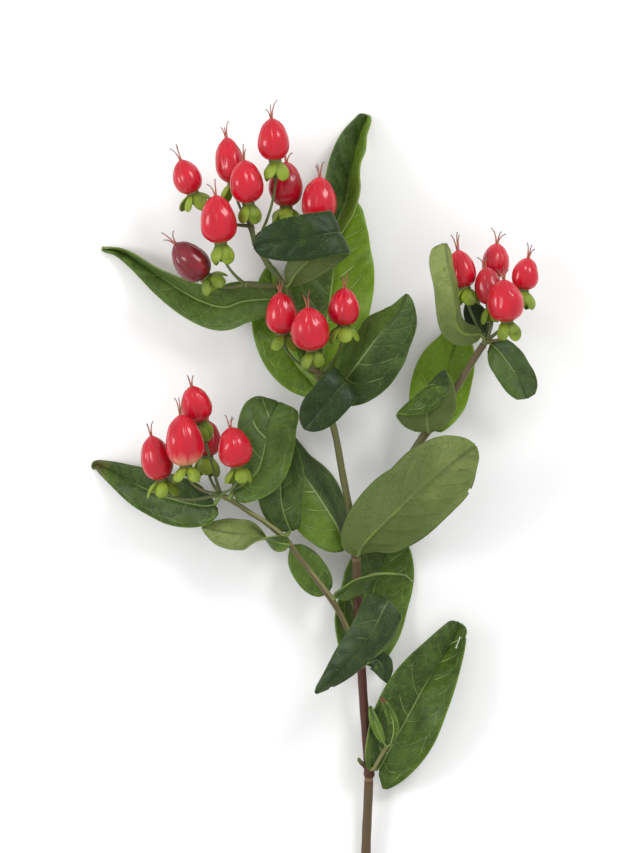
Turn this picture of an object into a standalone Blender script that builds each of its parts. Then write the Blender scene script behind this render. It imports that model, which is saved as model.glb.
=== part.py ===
"""A cut hypericum stem with red berries, lying on a flat surface.

Metres, +Z up. +Y runs along the stem towards its tip, and the stem's cut end is at -Y. The origin is on the
surface, under the centre of the whole stem. Lengths in the tables below are millimetres.
"""

import math
from dataclasses import dataclass

import bmesh
import bpy
from mathutils import Matrix, Vector

MM = 0.001

# Driving dimensions
LEAF_THICKNESS = 0.7
REST_BAND = 0.3
LEAF_BASE_SHARE = 0.16
LOBE_REACH = 0.5
SEPAL_LENGTH = 6.6
SEPAL_WIDTH = 4.6
SEPAL_THICKNESS = 0.9
SEPALS = 5
SEPAL_UNEVEN = 6.0
SEPAL_FOOT = 0.95
SEPAL_DROP = 0.4
SEPAL_TWIST = math.radians(9)
STYLE_LENGTH = 5.6
STYLE_RADIUS = 0.36
STYLES = 3
PEDICEL_RADIUS = 0.6
STALK_RADIUS = 0.85
JOINT_RADIUS = 1.15
RECEPTACLE_RADIUS = 1.7
RECEPTACLE_FOOT = 1.3
RECEPTACLE_HEIGHT = 1.6
BERRY_GAP = 0.35

# Mesh fineness
LEAF_COLUMNS = 4
ROWS_TO_ENDS = 0.07
FRAME_STEPS = 96
BERRY_SIDES = 10
BERRY_RINGS = 6
STEM_BEVEL_RESOLUTION = 2
STALK_BEVEL_RESOLUTION = 0

# Colours and finish
STEM_BROWN = (0.23, 0.11, 0.075, 1.0)
STEM_GREEN = (0.17, 0.19, 0.06, 1.0)
LEAF_GREEN = (0.045, 0.13, 0.03, 1.0)
CALYX_GREEN = (0.22, 0.36, 0.035, 1.0)
BERRY_RED = (0.62, 0.012, 0.03, 1.0)


@dataclass
class Tube:
    """A stem or branch: points on its centre line, each with the radius there."""

    name: str
    points: tuple


@dataclass
class Leaf:
    """A blade on a midrib that runs from the stem to the tip.

    face is 1 where the upper side looks up at the base, and -1 where the underside does. left and right are
    the angles that each half is lifted from flat towards the upper side, at the base, the middle and the tip,
    and roll turns the whole blade about its midrib, at the same three places. auricle is how far the left and
    right halves reach back past the midrib's start. widest is where along the midrib the blade is widest,
    blunt is 2 for a pointed end and more for a round one, and tip is the width left at the very end, as a
    share of half_width. crease is a diagonal fold: a point on it, and its direction.
    """

    name: str
    midrib: tuple
    half_width: float
    face: int = 1
    left: tuple = (10, 10, 10)
    right: tuple = (10, 10, 10)
    roll: tuple = (0, 0, 0)
    widest: float = 0.42
    auricle: tuple = (2.0, 2.0)
    blunt: float = 2.2
    tip: float = 0.09
    rows: int = 9
    crease: tuple = ()


@dataclass
class Berry:
    """An egg-shaped capsule. lean turns its axis to the right of +Y, rise lifts it towards +Z, in degrees."""

    name: str
    centre: tuple
    length: float
    width: float
    lean: float
    rise: float
    joint: str
    reflex: float = 45.0


# The woody stem and its two side branches: x, y, z and radius
MAIN_STEM = Tube(
    "main_stem",
    (
        (16.0, -140.0, 1.7, 1.65),
        (17.4, -111.0, 3.5, 1.6),
        (18.3, -88.0, 5.2, 1.55),
        (18.5, -85.0, 5.5, 1.9),
        (18.3, -82.0, 5.7, 1.6),
        (17.1, -66.7, 7.0, 1.55),
        (16.0, -51.0, 8.3, 1.5),
        (15.8, -47.7, 8.5, 1.85),
        (15.6, -44.5, 8.8, 1.5),
        (14.7, -30.3, 10.5, 1.45),
        (14.3, -15.0, 12.2, 1.45),
        (14.1, -12.0, 12.5, 1.7),
        (13.7, -9.0, 12.8, 1.3),
        (11.8, 4.3, 14.0, 1.2),
        (9.3, 17.0, 15.0, 1.2),
        (7.2, 28.7, 16.0, 1.15),
        (4.0, 40.7, 17.0, 1.2),
        (1.7, 48.0, 18.0, 1.2),
        (-3.3, 61.7, 20.0, 1.0),
        (-8.3, 76.0, 22.0, 1.0),
    ),
)
RIGHT_BRANCH = Tube(
    "right_branch",
    (
        (17.0, -7.0, 13.9, 1.2),
        (21.3, 2.3, 15.0, 1.15),
        (29.8, 17.7, 17.0, 1.15),
        (33.7, 24.5, 18.0, 1.15),
        (37.7, 30.0, 19.0, 1.4),
        (43.0, 37.7, 20.5, 1.2),
        (48.0, 45.7, 21.5, 1.2),
        (52.2, 52.5, 22.5, 1.15),
        (56.3, 58.8, 23.5, 1.2),
    ),
)
LEFT_BRANCH = Tube(
    "left_branch",
    (
        (12.4, -38.3, 11.1, 1.0),
        (8.7, -30.8, 13.0, 0.95),
        (5.3, -25.3, 14.5, 1.15),
        (-0.7, -17.3, 16.5, 0.9),
        (-5.0, -11.7, 18.0, 0.9),
        (-9.7, -5.7, 19.5, 1.1),
        (-15.8, -0.5, 20.5, 0.85),
        (-21.7, 3.3, 21.5, 0.85),
        (-26.0, 6.2, 22.0, 0.85),
        (-29.7, 8.3, 22.5, 1.0),
    ),
)

SHOOT_STALK = Tube(
    "shoot_stalk",
    ((20.1, -82.6, 9.6, 0.75), (21.3, -80.4, 11.8, 0.7), (22.8, -77.8, 13.3, 0.7), (24.3, -75.3, 14.1, 0.75)),
)

LEAVES = (
    Leaf(
        "leaf_lowest",
        ((21.9, -82.9, 6.0), (25.4, -76.3, 7.6), (29.6, -68.6, 8.6), (36.3, -56.2, 8.6),
         (43.2, -44.8, 7.0), (49.0, -34.2, 4.5)),
        12.4, left=(50, 15, 20), right=(0, 25, 40), auricle=(0.0, 9.0), widest=0.36, blunt=1.9, tip=0.25,
    ),
    Leaf(
        "leaf_second_pair_back",
        ((15.8, -46.7, 5.9), (17.3, -37.3, 4.0), (18.6, -28.0, 2.2), (21.0, -20.0, 0.9),
         (24.0, -10.7, 0.35), (27.0, -1.3, 0.35)),
        12.8, left=(20, 36, 12), right=(5, 0, 0), auricle=(4.0, 3.0), blunt=3.0,
    ),
    Leaf(
        "leaf_second_pair_front",
        ((16.3, -45.2, 11.7), (20.0, -39.0, 18.0), (24.0, -30.7, 25.0), (25.7, -26.3, 30.0),
         (23.7, -27.7, 34.0), (18.7, -36.7, 35.5), (12.7, -44.0, 34.0), (6.3, -51.3, 31.0),
         (0.3, -56.7, 27.0)),
        7.3, face=-1, left=(0, 0, -10), right=(0, -40, -45), auricle=(0.5, 0.5), rows=14, widest=0.5,
    ),
    Leaf(
        "leaf_second_pair_side",
        ((18.8, -47.3, 8.5), (21.3, -47.4, 9.8), (23.2, -49.8, 9.8), (24.7, -54.3, 8.3)),
        3.4, face=1, left=(0, 0, 0), right=(0, 0, 0), auricle=(0.0, 0.0), rows=6, blunt=1.4, tip=0.02,
    ),
    Leaf(
        "leaf_third_pair_big",
        ((14.8, -11.3, 15.9), (17.8, -6.0, 19.5), (27.7, 4.0, 26.5), (34.3, 10.3, 29.5),
         (46.5, 20.3, 32.5), (53.4, 25.5, 33.0)),
        13.6, face=-1, left=(-8, 45, 30), right=(8, 5, 20), auricle=(1.5, -4.0), widest=0.5, blunt=3.6,
        tip=0.2,
    ),
    Leaf(
        "leaf_third_pair_left",
        ((10.7, -9.4, 11.5), (7.3, -1.7, 12.0), (3.7, 4.3, 12.0), (-2.3, 13.3, 11.0), (-8.3, 20.7, 10.0),
         (-10.0, 31.7, 9.0)),
        12.2, left=(5, 8, 10), right=(-55, -52, -40), auricle=(0.0, 0.5),
    ),
    Leaf(
        "leaf_fourth_pair_up",
        ((2.0, 48.7, 15.6), (4.0, 63.3, 12.5), (5.7, 76.7, 10.5), (7.7, 90.0, 8.8), (11.0, 99.3, 7.6),
         (14.3, 106.9, 7.0)),
        14.0, left=(5, 12, 18), right=(0, 0, 5), widest=0.5, auricle=(0.0, 0.0),
    ),
    Leaf(
        "leaf_fourth_pair_left",
        ((0.0, 45.7, 14.6), (-6.0, 52.7, 11.8), (-10.0, 60.7, 8.5), (-12.7, 70.0, 5.8), (-14.3, 79.0, 4.4),
         (-14.7, 86.0, 4.0)),
        9.6, left=(0, 0, 0), right=(0, 0, 0), auricle=(4.0, 2.0),
    ),
    Leaf(
        "leaf_fourth_pair_right",
        ((6.3, 43.0, 19.5), (12.3, 49.7, 26.0), (21.0, 61.3, 31.5), (27.5, 68.5, 33.0),
         (31.0, 75.5, 32.5)),
        12.9, left=(-48, -58, -58), right=(-5, -10, -10), auricle=(0.0, 3.6),
    ),
    Leaf(
        "leaf_fourth_pair_front",
        ((3.3, 39.3, 19.4), (7.0, 42.8, 25.5), (9.8, 45.7, 31.0), (10.9, 46.6, 34.5), (8.4, 44.3, 38.0),
         (2.9, 38.2, 38.5), (-3.3, 30.9, 35.5)),
        6.8, face=-1, left=(0, 0, 0), right=(0, 0, 0), auricle=(0.5, 0.5), blunt=4.0, widest=0.6, rows=12,
        tip=0.2,
    ),
    Leaf(
        "leaf_top_pair_left",
        ((-11.3, 74.0, 20.3), (-18.0, 74.0, 18.8), (-24.3, 73.2, 16.6), (-30.7, 71.5, 14.0),
         (-39.7, 74.5, 10.0), (-49.7, 80.7, 6.0), (-59.7, 87.7, 2.8), (-65.7, 91.0, 1.2),
         (-71.2, 91.6, 0.6)),
        8.0, left=(0, 25, 50), right=(15, 45, 78), auricle=(1.0, 0.5), rows=11, widest=0.3, blunt=1.6,
        tip=0.16,
    ),
    Leaf(
        "leaf_top_pair_front",
        ((-8.0, 79.0, 25.4), (-5.5, 82.8, 28.0), (0.5, 88.8, 31.0), (6.3, 93.6, 35.0), (8.8, 95.7, 39.0),
         (6.7, 95.6, 42.0), (-1.3, 94.3, 43.5), (-10.3, 93.0, 42.5), (-19.9, 91.0, 39.0)),
        7.9, face=-1, left=(15, 0, -5), right=(10, 0, -5), auricle=(0.0, 0.0), widest=0.45, blunt=3.0,
        rows=14, tip=0.16, roll=(0, -30, -60),
    ),
    Leaf(
        "leaf_top_tall",
        ((-0.5, 89.0, 19.8), (4.7, 95.3, 16.8), (8.6, 101.7, 14.0), (10.7, 107.3, 11.5),
         (11.5, 113.0, 9.0), (12.5, 120.0, 6.0), (14.3, 127.0, 3.2), (16.2, 132.3, 1.2),
         (17.9, 136.4, 0.5)),
        9.5, left=(10, 20, 30), right=(50, 75, 65), auricle=(0.0, 0.0), rows=11, tip=0.3,
    ),
    Leaf(
        "leaf_left_branch_long",
        ((-33.2, 5.6, 19.8), (-38.0, 5.3, 17.0), (-48.0, 7.6, 12.0), (-58.0, 11.5, 7.0),
         (-67.3, 16.3, 3.0), (-72.7, 18.7, 1.2), (-74.6, 17.7, 0.6)),
        8.6, left=(0, 5, 20), auricle=(2.0, 0.0), widest=0.32, blunt=1.7,
    ),
    Leaf(
        "leaf_left_branch_up",
        ((-26.6, 10.5, 24.0), (-23.5, 12.5, 25.0), (-18.6, 17.3, 25.0), (-16.3, 25.3, 24.2),
         (-15.3, 33.0, 23.0), (-13.4, 37.2, 20.8), (-11.8, 40.0, 18.0)),
        9.8, left=(-20, 0, -5), right=(20, 5, 10), auricle=(0.0, 1.8), blunt=6.0, widest=0.5, rows=10,
        tip=0.6,
    ),
    Leaf(
        "leaf_left_branch_middle_up",
        ((-7.9, -3.0, 16.8), (-10.0, 2.7, 17.6), (-11.0, 7.7, 18.0), (-11.7, 16.7, 17.0),
         (-14.7, 26.7, 15.5), (-18.3, 35.7, 14.0), (-20.7, 41.0, 12.5)),
        8.3, left=(0, 8, 10), right=(5, 5, 5), auricle=(0.0, 1.0),
    ),
    Leaf(
        "leaf_left_branch_middle_left",
        ((-8.4, -7.6, 21.6), (-13.0, -6.7, 21.8), (-19.7, -4.6, 20.0), (-28.0, -3.9, 17.0),
         (-37.3, -2.1, 14.0)),
        5.4, roll=(0, -165, -175), auricle=(0.0, 0.0), rows=12, widest=0.6, blunt=2.6,
    ),
    Leaf(
        "leaf_left_branch_low_up",
        ((4.3, -24.0, 12.4), (0.3, -19.0, 11.2), (-3.7, -13.3, 10.5), (-6.7, -8.0, 10.0)),
        5.6, left=(0, 0, 0), right=(0, 0, 0), blunt=3.0, auricle=(0.0, 0.0), rows=7, tip=0.2,
    ),
    Leaf(
        "leaf_left_branch_low_right",
        ((7.7, -25.3, 16.0), (10.7, -23.3, 19.5), (14.3, -20.3, 22.5), (19.0, -17.7, 23.8),
         (24.3, -17.2, 23.5), (29.3, -18.0, 21.5), (33.0, -20.3, 18.5)),
        5.5, left=(20, 10, 10), right=(20, 10, 10), roll=(40, 80, 85), auricle=(0.0, 0.0),
    ),
    Leaf(
        "leaf_right_branch_back",
        ((38.9, 31.2, 15.6), (41.3, 40.0, 11.5), (44.3, 50.7, 7.0), (47.0, 58.3, 3.4), (49.7, 66.3, 0.5)),
        10.3, left=(0, 0, 0), right=(10, 25, 20), auricle=(3.0, 2.0),
    ),
    Leaf(
        "leaf_right_branch_front",
        ((38.0, 29.8, 21.3), (37.3, 36.0, 23.5), (36.6, 44.0, 25.0), (35.9, 53.8, 26.0)),
        10.3, face=-1, left=(0, 0, 0), right=(0, 0, 0), auricle=(0.0, 0.0), rows=12,
        crease=((36.6, 41.9, 25.0), (15.8, 17.2)),
    ),
    Leaf(
        "leaf_right_top_left",
        ((55.3, 62.4, 25.6), (51.6, 62.8, 27.5), (48.9, 66.0, 30.0), (47.1, 72.2, 33.0),
         (45.8, 78.8, 34.0), (44.3, 85.5, 33.0), (43.3, 92.3, 31.0)),
        6.2, face=-1, left=(30, 48, 35), right=(30, 48, 35), auricle=(0.0, 0.0), blunt=4.0, rows=10,
        widest=0.7, tip=0.25,
    ),
    Leaf(
        "leaf_right_top_back",
        ((56.8, 62.8, 19.5), (55.3, 66.0, 16.5), (53.0, 70.7, 14.0), (51.8, 74.7, 12.5)),
        4.0, left=(0, 0, 0), right=(0, 0, 0), auricle=(0.0, 0.0), rows=6,
    ),
    Leaf(
        "leaf_right_top_right",
        ((58.9, 59.2, 22.0), (61.3, 57.0, 23.3), (65.0, 52.2, 24.3), (68.5, 46.5, 22.5),
         (70.9, 41.0, 19.5)),
        6.0, left=(10, 15, 10), right=(-10, -10, -10), auricle=(0.0, 0.0), blunt=4.0, tip=0.4, widest=0.4,
    ),
    Leaf(
        "leaf_shoot_left",
        ((23.3, -73.9, 14.6), (21.6, -70.2, 15.6), (19.8, -65.5, 16.0), (18.7, -61.5, 16.0)),
        1.6, auricle=(0.0, 0.0), rows=6,
    ),
    Leaf(
        "leaf_shoot_right",
        ((25.6, -74.4, 15.2), (26.6, -68.8, 17.2), (25.2, -63.5, 18.2), (22.3, -58.5, 18.4)),
        1.8, auricle=(0.0, 0.0), rows=6,
    ),
)

# Where the stalks of each berry cluster divide, and the stalks between those places
TOP_JOINTS = {
    "start": (-8.9, 77.8, 22.2),
    "left_low": (-15.3, 85.7, 24.0),
    "left_mid": (-19.3, 92.3, 25.5),
    "left_high": (-21.0, 98.3, 26.8),
    "right": (-2.0, 87.7, 21.5),
    "side": (-22.7, 78.9, 25.0),
}
TOP_STALKS = (("start", "left_low", "left_mid", "left_high"), ("start", "right"), ("start", "side"))
MIDDLE_JOINTS = {"start": (2.6, 49.2, 21.2)}
MIDDLE_STALKS = ()
RIGHT_JOINTS = {"start": (57.2, 60.2, 23.8)}
RIGHT_STALKS = ()
LEFT_JOINTS = {"start": (-31.2, 9.2, 22.8)}
LEFT_STALKS = ()

TOP_BERRIES = (
    Berry("berry_top_1", (-42.3, 114.8, 22.0), 11.8, 9.5, -20, 5, "left_high"),
    Berry("berry_top_2", (-28.0, 120.3, 19.0), 15.3, 9.8, -9, 0, "left_high"),
    Berry("berry_top_3", (-13.5, 126.7, 31.0), 14.0, 10.7, -5, 5, "left_mid", 58),
    Berry("berry_top_4", (-22.5, 112.7, 31.5), 14.3, 11.3, -6, 8, "left_high", 66),
    Berry("berry_top_5", (-9.3, 112.3, 18.0), 15.0, 11.4, 0, 0, "right"),
    Berry("berry_top_6", (1.8, 107.0, 25.5), 15.0, 11.8, 0, 5, "right", 60),
    Berry("berry_top_7", (-31.7, 100.2, 33.0), 15.9, 12.2, -6, 8, "side", 66),
    Berry("berry_top_8", (-41.0, 86.8, 26.0), 15.0, 11.5, -42, 5, "side"),
)
MIDDLE_BERRIES = (
    Berry("berry_middle_1", (-10.8, 69.2, 29.0), 13.8, 10.4, -4, 10, "start"),
    Berry("berry_middle_2", (-1.3, 64.0, 36.5), 14.5, 12.9, -6, 18, "start", 58),
    Berry("berry_middle_3", (10.0, 71.3, 31.0), 12.5, 10.4, 1, 8, "start"),
)
RIGHT_BERRIES = (
    Berry("berry_right_1", (49.0, 84.0, 22.0), 12.8, 10.0, -10, 0, "start"),
    Berry("berry_right_2", (60.5, 87.0, 16.0), 11.5, 9.3, 5, 0, "start", 62),
    Berry("berry_right_3", (70.2, 82.3, 27.0), 10.8, 8.9, 10, 5, "start", 60),
    Berry("berry_right_4", (58.0, 78.3, 26.2), 12.5, 9.5, -10, 5, "start", 62),
    Berry("berry_right_5", (63.3, 73.3, 36.5), 14.0, 12.2, -5, 15, "start", 60),
)
LEFT_BERRIES = (
    Berry("berry_left_1", (-39.2, 39.2, 27.0), 12.6, 10.4, -14, 22, "start", 66),
    Berry("berry_left_2", (-43.2, 27.0, 34.0), 17.0, 12.7, -6, 10, "start"),
    Berry("berry_left_3", (-52.3, 21.2, 26.0), 15.0, 10.7, -14, 5, "start"),
    Berry("berry_left_4", (-35.7, 27.6, 14.0), 12.0, 9.0, 0, 0, "start", 58),
    Berry("berry_left_5", (-26.5, 24.8, 33.0), 13.4, 11.4, -10, 10, "start"),
)


def clear_scene():
    """Removes every object that the file starts with."""
    for old in list(bpy.data.objects):
        bpy.data.objects.remove(old, do_unlink=True)


def make_material(name, colour, roughness):
    """A Principled material of one colour."""
    material = bpy.data.materials.new(name)
    material.use_nodes = True
    shader = material.node_tree.nodes["Principled BSDF"]
    shader.inputs["Base Color"].default_value = colour
    shader.inputs["Roughness"].default_value = roughness
    shader.inputs["Metallic"].default_value = 0.0
    return material


def add_object(name, mesh, material, collection):
    """A new object with one material, shaded smooth, in the collection."""
    obj = bpy.data.objects.new(name, mesh)
    collection.objects.link(obj)
    mesh.materials.clear()
    mesh.materials.append(material)
    mesh.shade_smooth()
    return obj


def smooth_points(points, steps):
    """Points at even distances along one smooth curve through the given ones."""
    knots = [Vector(p) for p in points]
    knots = [2 * knots[0] - knots[1]] + knots + [2 * knots[-1] - knots[-2]]
    dense = []
    per_span = 24
    for i in range(1, len(knots) - 2):
        before, start, end, after = knots[i - 1 : i + 3]
        for k in range(per_span):
            t = k / per_span
            dense.append(
                0.5
                * (
                    2 * start
                    + (end - before) * t
                    + (2 * before - 5 * start + 4 * end - after) * t**2
                    + (3 * start - before - 3 * end + after) * t**3
                )
            )
    dense.append(knots[-2])
    reach = [0.0]
    for a, b in zip(dense, dense[1:]):
        reach.append(reach[-1] + (b - a).length)
    even, j = [], 0
    for k in range(steps + 1):
        want = reach[-1] * k / steps
        while j < len(dense) - 2 and reach[j + 1] < want:
            j += 1
        share = (want - reach[j]) / max(reach[j + 1] - reach[j], 1e-9)
        even.append(dense[j].lerp(dense[j + 1], share))
    return even


def between(three, u):
    """A value that runs evenly from the first to the second by the middle, and on to the third."""
    if u < 0.5:
        return three[0] + (three[1] - three[0]) * u * 2
    return three[1] + (three[2] - three[1]) * (u * 2 - 1)


def leaf_frames(leaf):
    """Places along the midrib, each with its forward, side and upward direction, twisted only by the roll."""
    points = smooth_points(leaf.midrib, FRAME_STEPS)
    upward = Vector((0, 0, leaf.face))
    frames = []
    for i, point in enumerate(points):
        forward = (points[min(i + 1, FRAME_STEPS)] - points[max(i - 1, 0)]).normalized()
        upward = (upward - upward.dot(forward) * forward).normalized()
        roll = Matrix.Rotation(math.radians(between(leaf.roll, i / FRAME_STEPS)), 3, forward)
        turned = roll @ upward
        side = leaf.face * forward.cross(turned)
        frames.append((point, forward, side, turned))
    return frames


def leaf_share(leaf, u):
    """The half-width at u along the leaf, as a share of the widest: a round base and a narrower end."""
    if u < leaf.widest:
        return LEAF_BASE_SHARE + (1 - LEAF_BASE_SHARE) * (1 - (1 - u / leaf.widest) ** 2) ** 0.6
    beyond = (u - leaf.widest) / (1 - leaf.widest)
    return leaf.tip + (1 - leaf.tip) * (1 - beyond**leaf.blunt)


def leaf_point(leaf, frames, u, v):
    """The blade's middle surface at u from base to tip and v from its left edge, -1, to its right edge, 1."""
    length = sum((b[0] - a[0]).length for a, b in zip(frames, frames[1:]))
    auricle = leaf.auricle[0] if v < 0 else leaf.auricle[1]
    reach = abs(v) * leaf.half_width * leaf_share(leaf, u)
    lobe = math.sin(math.pi / 2 * min(reach / leaf.half_width / LOBE_REACH, 1.0))
    along = u * length - auricle * lobe * (1 - u) ** 5
    place = min(max(along / length, 0.0), 1.0) * FRAME_STEPS
    i = min(int(place), FRAME_STEPS - 1)
    point, forward, side, upward = (a.lerp(b, place - i) for a, b in zip(frames[i], frames[i + 1]))
    if along < 0:
        point = point + forward.normalized() * along
    lift = math.radians(between(leaf.left if v < 0 else leaf.right, u))
    sideways = side.normalized() * math.copysign(reach * math.cos(lift), v)
    return point + sideways + upward.normalized() * reach * math.sin(lift)


def fold_over(point, crease):
    """Rolls what lies beyond a diagonal crease up and back over the leaf."""
    on_line, (run_x, run_y) = Vector(crease[0]), crease[1]
    run = Vector((run_x, run_y, 0)).normalized()
    away = Vector((-run.y, run.x, 0))
    radius, turn = 1.7, math.radians(172)
    offset = point - on_line
    beyond, height = offset.dot(away), offset.z
    if beyond <= 0:
        return point
    angle = min(beyond / radius, turn)
    rest = max(beyond - radius * turn, 0.0)
    across = radius * math.sin(angle) + rest * math.cos(angle) - height * math.sin(angle)
    up = radius * (1 - math.cos(angle)) + rest * math.sin(angle) + height * math.cos(angle)
    return on_line + run * offset.dot(run) + away * across + Vector((0, 0, up))


def build_leaf(leaf, material, collection):
    """One leaf: a grid laid on its midrib, triangulated so that both faces split alike, then thickened."""
    frames = leaf_frames(leaf)
    shape = bmesh.new()
    bmesh.ops.create_grid(shape, x_segments=LEAF_COLUMNS, y_segments=leaf.rows, size=1.0)
    lowest = LEAF_THICKNESS / 2
    for vert in shape.verts:
        even = (vert.co.y + 1) / 2
        u = even - ROWS_TO_ENDS * math.sin(2 * math.pi * even)
        point = leaf_point(leaf, frames, u, vert.co.x)
        if leaf.crease:
            point = fold_over(point, leaf.crease)
        point.z = max(point.z, lowest)
        vert.co = point * MM
    bmesh.ops.triangulate(shape, faces=shape.faces)
    mesh = bpy.data.meshes.new(leaf.name + "_surface")
    shape.to_mesh(mesh)
    shape.free()
    obj = add_object(leaf.name, mesh, material, collection)
    wall = obj.modifiers.new("thickness", "SOLIDIFY")
    wall.thickness = LEAF_THICKNESS * MM
    wall.offset = 0.0
    bpy.context.view_layer.update()
    thick = bpy.data.meshes.new_from_object(obj.evaluated_get(bpy.context.evaluated_depsgraph_get()))
    obj.modifiers.clear()
    obj.data = thick
    for vert in thick.vertices:
        if vert.co.z < REST_BAND * MM:
            vert.co.z = 0.0
    return obj


def tube_object(name, points, material, collection, bevel_resolution):
    """A curve object with round section and filled caps through points of x, y, z and radius."""
    curve = bpy.data.curves.new(name, "CURVE")
    curve.dimensions = "3D"
    curve.bevel_depth = MM
    curve.bevel_resolution = bevel_resolution
    curve.use_fill_caps = True
    spline = curve.splines.new("POLY")
    spline.points.add(len(points) - 1)
    for knot, (x, y, z, radius) in zip(spline.points, points):
        knot.co = (x * MM, y * MM, z * MM, 1.0)
        knot.radius = radius
    obj = bpy.data.objects.new(name, curve)
    curve.materials.append(material)
    collection.objects.link(obj)
    return obj


def tube_as_mesh(name, points, material, collection):
    """The same tube as a closed mesh, which a Boolean can take."""
    guide = tube_object(name + "_guide", points, material, collection, STALK_BEVEL_RESOLUTION)
    bpy.context.view_layer.update()
    evaluated = guide.evaluated_get(bpy.context.evaluated_depsgraph_get())
    mesh = bpy.data.meshes.new_from_object(evaluated)
    shape = bmesh.new()
    shape.from_mesh(mesh)
    bmesh.ops.remove_doubles(shape, verts=shape.verts, dist=1e-6)
    shape.to_mesh(mesh)
    shape.free()
    obj = add_object(name, mesh, material, collection)
    obj.matrix_world = guide.matrix_world
    bpy.data.objects.remove(guide, do_unlink=True)
    return obj


def berry_axis(berry):
    """The direction from a berry's calyx to its styles."""
    lean, rise = math.radians(berry.lean), math.radians(berry.rise)
    return Vector((math.sin(lean) * math.cos(rise), math.cos(lean) * math.cos(rise), math.sin(rise)))


def berry_matrix(berry):
    """Turns a berry modelled upright along +Z at the origin into its place."""
    turn = Vector((0, 0, 1)).rotation_difference(berry_axis(berry)).to_matrix().to_4x4()
    return Matrix.Translation(Vector(berry.centre) * MM) @ turn


def berry_radius(height, around):
    """The berry's radius over its half-width, for a height from -1 at the calyx to 1 at the styles."""
    egg = math.sqrt(max(1 - height * height, 0.0)) * (1 - 0.16 * height)
    crown = 0.10 * max(height, 0.0) ** 3 * math.sqrt(max(1 - height * height, 0.0))
    return (egg - crown) * (1 + 0.03 * math.cos(3 * around))


def union_of(keep, others):
    """Joins the others into one object with a single Boolean on their collection, and removes them."""
    tools = bpy.data.collections.new(keep.name + "_tools")
    bpy.context.scene.collection.children.link(tools)
    for other in others:
        for home in other.users_collection:
            home.objects.unlink(other)
        tools.objects.link(other)
    join = keep.modifiers.new("join", "BOOLEAN")
    join.operation = "UNION"
    join.operand_type = "COLLECTION"
    join.collection = tools
    join.solver = "MANIFOLD"
    bpy.context.view_layer.update()
    joined = bpy.data.meshes.new_from_object(keep.evaluated_get(bpy.context.evaluated_depsgraph_get()))
    keep.modifiers.clear()
    keep.data = joined
    for other in list(tools.objects):
        bpy.data.objects.remove(other, do_unlink=True)
    bpy.data.collections.remove(tools)
    joined.shade_smooth()
    return keep


def build_style(berry, index, material, collection):
    """One of the thread-like styles that stand on the berry's tip, splayed outwards."""
    around = index * 2 * math.pi / STYLES + math.radians(berry.lean * 7)
    out = Vector((math.cos(around), math.sin(around), 0))
    foot = Vector((0, 0, berry.length / 2 - 0.9))
    points = []
    for share in (0.0, 0.5, 1.0):
        rise = 0.9 + STYLE_LENGTH * share if share > 0 else 0.0
        place = foot + Vector((0, 0, rise)) + out * (0.25 + 1.2 * share**2)
        points.append((*place, STYLE_RADIUS * (1 - 0.4 * share)))
    style = tube_as_mesh(f"{berry.name}_style_{index}", points, material, collection)
    style.matrix_world = berry_matrix(berry)
    return style


def build_berry(berry, material, collection):
    """One berry, a three-lobed egg with its styles joined on."""
    shape = bmesh.new()
    bmesh.ops.create_uvsphere(shape, u_segments=BERRY_SIDES, v_segments=BERRY_RINGS, radius=1.0)
    for vert in shape.verts:
        height = max(-1.0, min(1.0, vert.co.z))
        around = math.atan2(vert.co.y, vert.co.x)
        radius = berry_radius(height, around) * berry.width / 2
        pole = vert.co.xy.length < 1e-4
        side = Vector((0, 0)) if pole else vert.co.xy.normalized() * radius
        vert.co = Vector((side.x, side.y, height * berry.length / 2)) * MM
    mesh = bpy.data.meshes.new(berry.name)
    shape.to_mesh(mesh)
    shape.free()
    body = add_object(berry.name, mesh, material, collection)
    body.matrix_world = berry_matrix(berry)
    return union_of(body, [build_style(berry, i, material, collection) for i in range(STYLES)])


def build_sepal(berry, index, foot, material, collection):
    """One sepal of the ring under a berry, a flat leaf-like blade bent back along the stalk."""
    shape = bmesh.new()
    bmesh.ops.create_uvsphere(shape, u_segments=4, v_segments=3, radius=1.0)
    for vert in shape.verts:
        taper = 0.55 if vert.co.z < 0 else 1.0
        vert.co = Vector(
            (
                vert.co.x * SEPAL_WIDTH / 2 * 1.15 * taper,
                vert.co.y * SEPAL_THICKNESS / 2 * 1.15,
                (vert.co.z + 0.9) * SEPAL_LENGTH / 1.9,
            )
        ) * MM
    mesh = bpy.data.meshes.new("sepal")
    shape.to_mesh(mesh)
    shape.free()
    sepal = add_object(f"{berry.name}_sepal_{index}", mesh, material, collection)
    around = Matrix.Rotation(index * 2 * math.pi / SEPALS + math.radians(berry.lean * 5), 4, "Z")
    droop = berry.reflex + SEPAL_UNEVEN * (index * 2 % SEPALS - 2)
    tip_down = Matrix.Rotation(math.radians(90 + droop), 4, "X") @ Matrix.Rotation(SEPAL_TWIST, 4, "Z")
    outward = Matrix.Translation(Vector((0, -SEPAL_FOOT * MM, -SEPAL_DROP * MM)))
    turned = berry_matrix(berry).to_3x3().to_4x4() @ around @ outward @ tip_down
    sepal.matrix_world = Matrix.Translation(foot * MM) @ turned
    return sepal


def build_receptacle(berry, foot, material, collection):
    """The small cup between a berry and its stalk."""
    shape = bmesh.new()
    bmesh.ops.create_cone(
        shape,
        cap_ends=True,
        segments=6,
        radius1=RECEPTACLE_FOOT * MM,
        radius2=RECEPTACLE_RADIUS * MM,
        depth=RECEPTACLE_HEIGHT * MM,
    )
    mesh = bpy.data.meshes.new("receptacle")
    shape.to_mesh(mesh)
    shape.free()
    cup = add_object(berry.name + "_cup", mesh, material, collection)
    cup.matrix_world = Matrix.Translation(foot * MM) @ berry_matrix(berry).to_3x3().to_4x4()
    return cup


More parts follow.
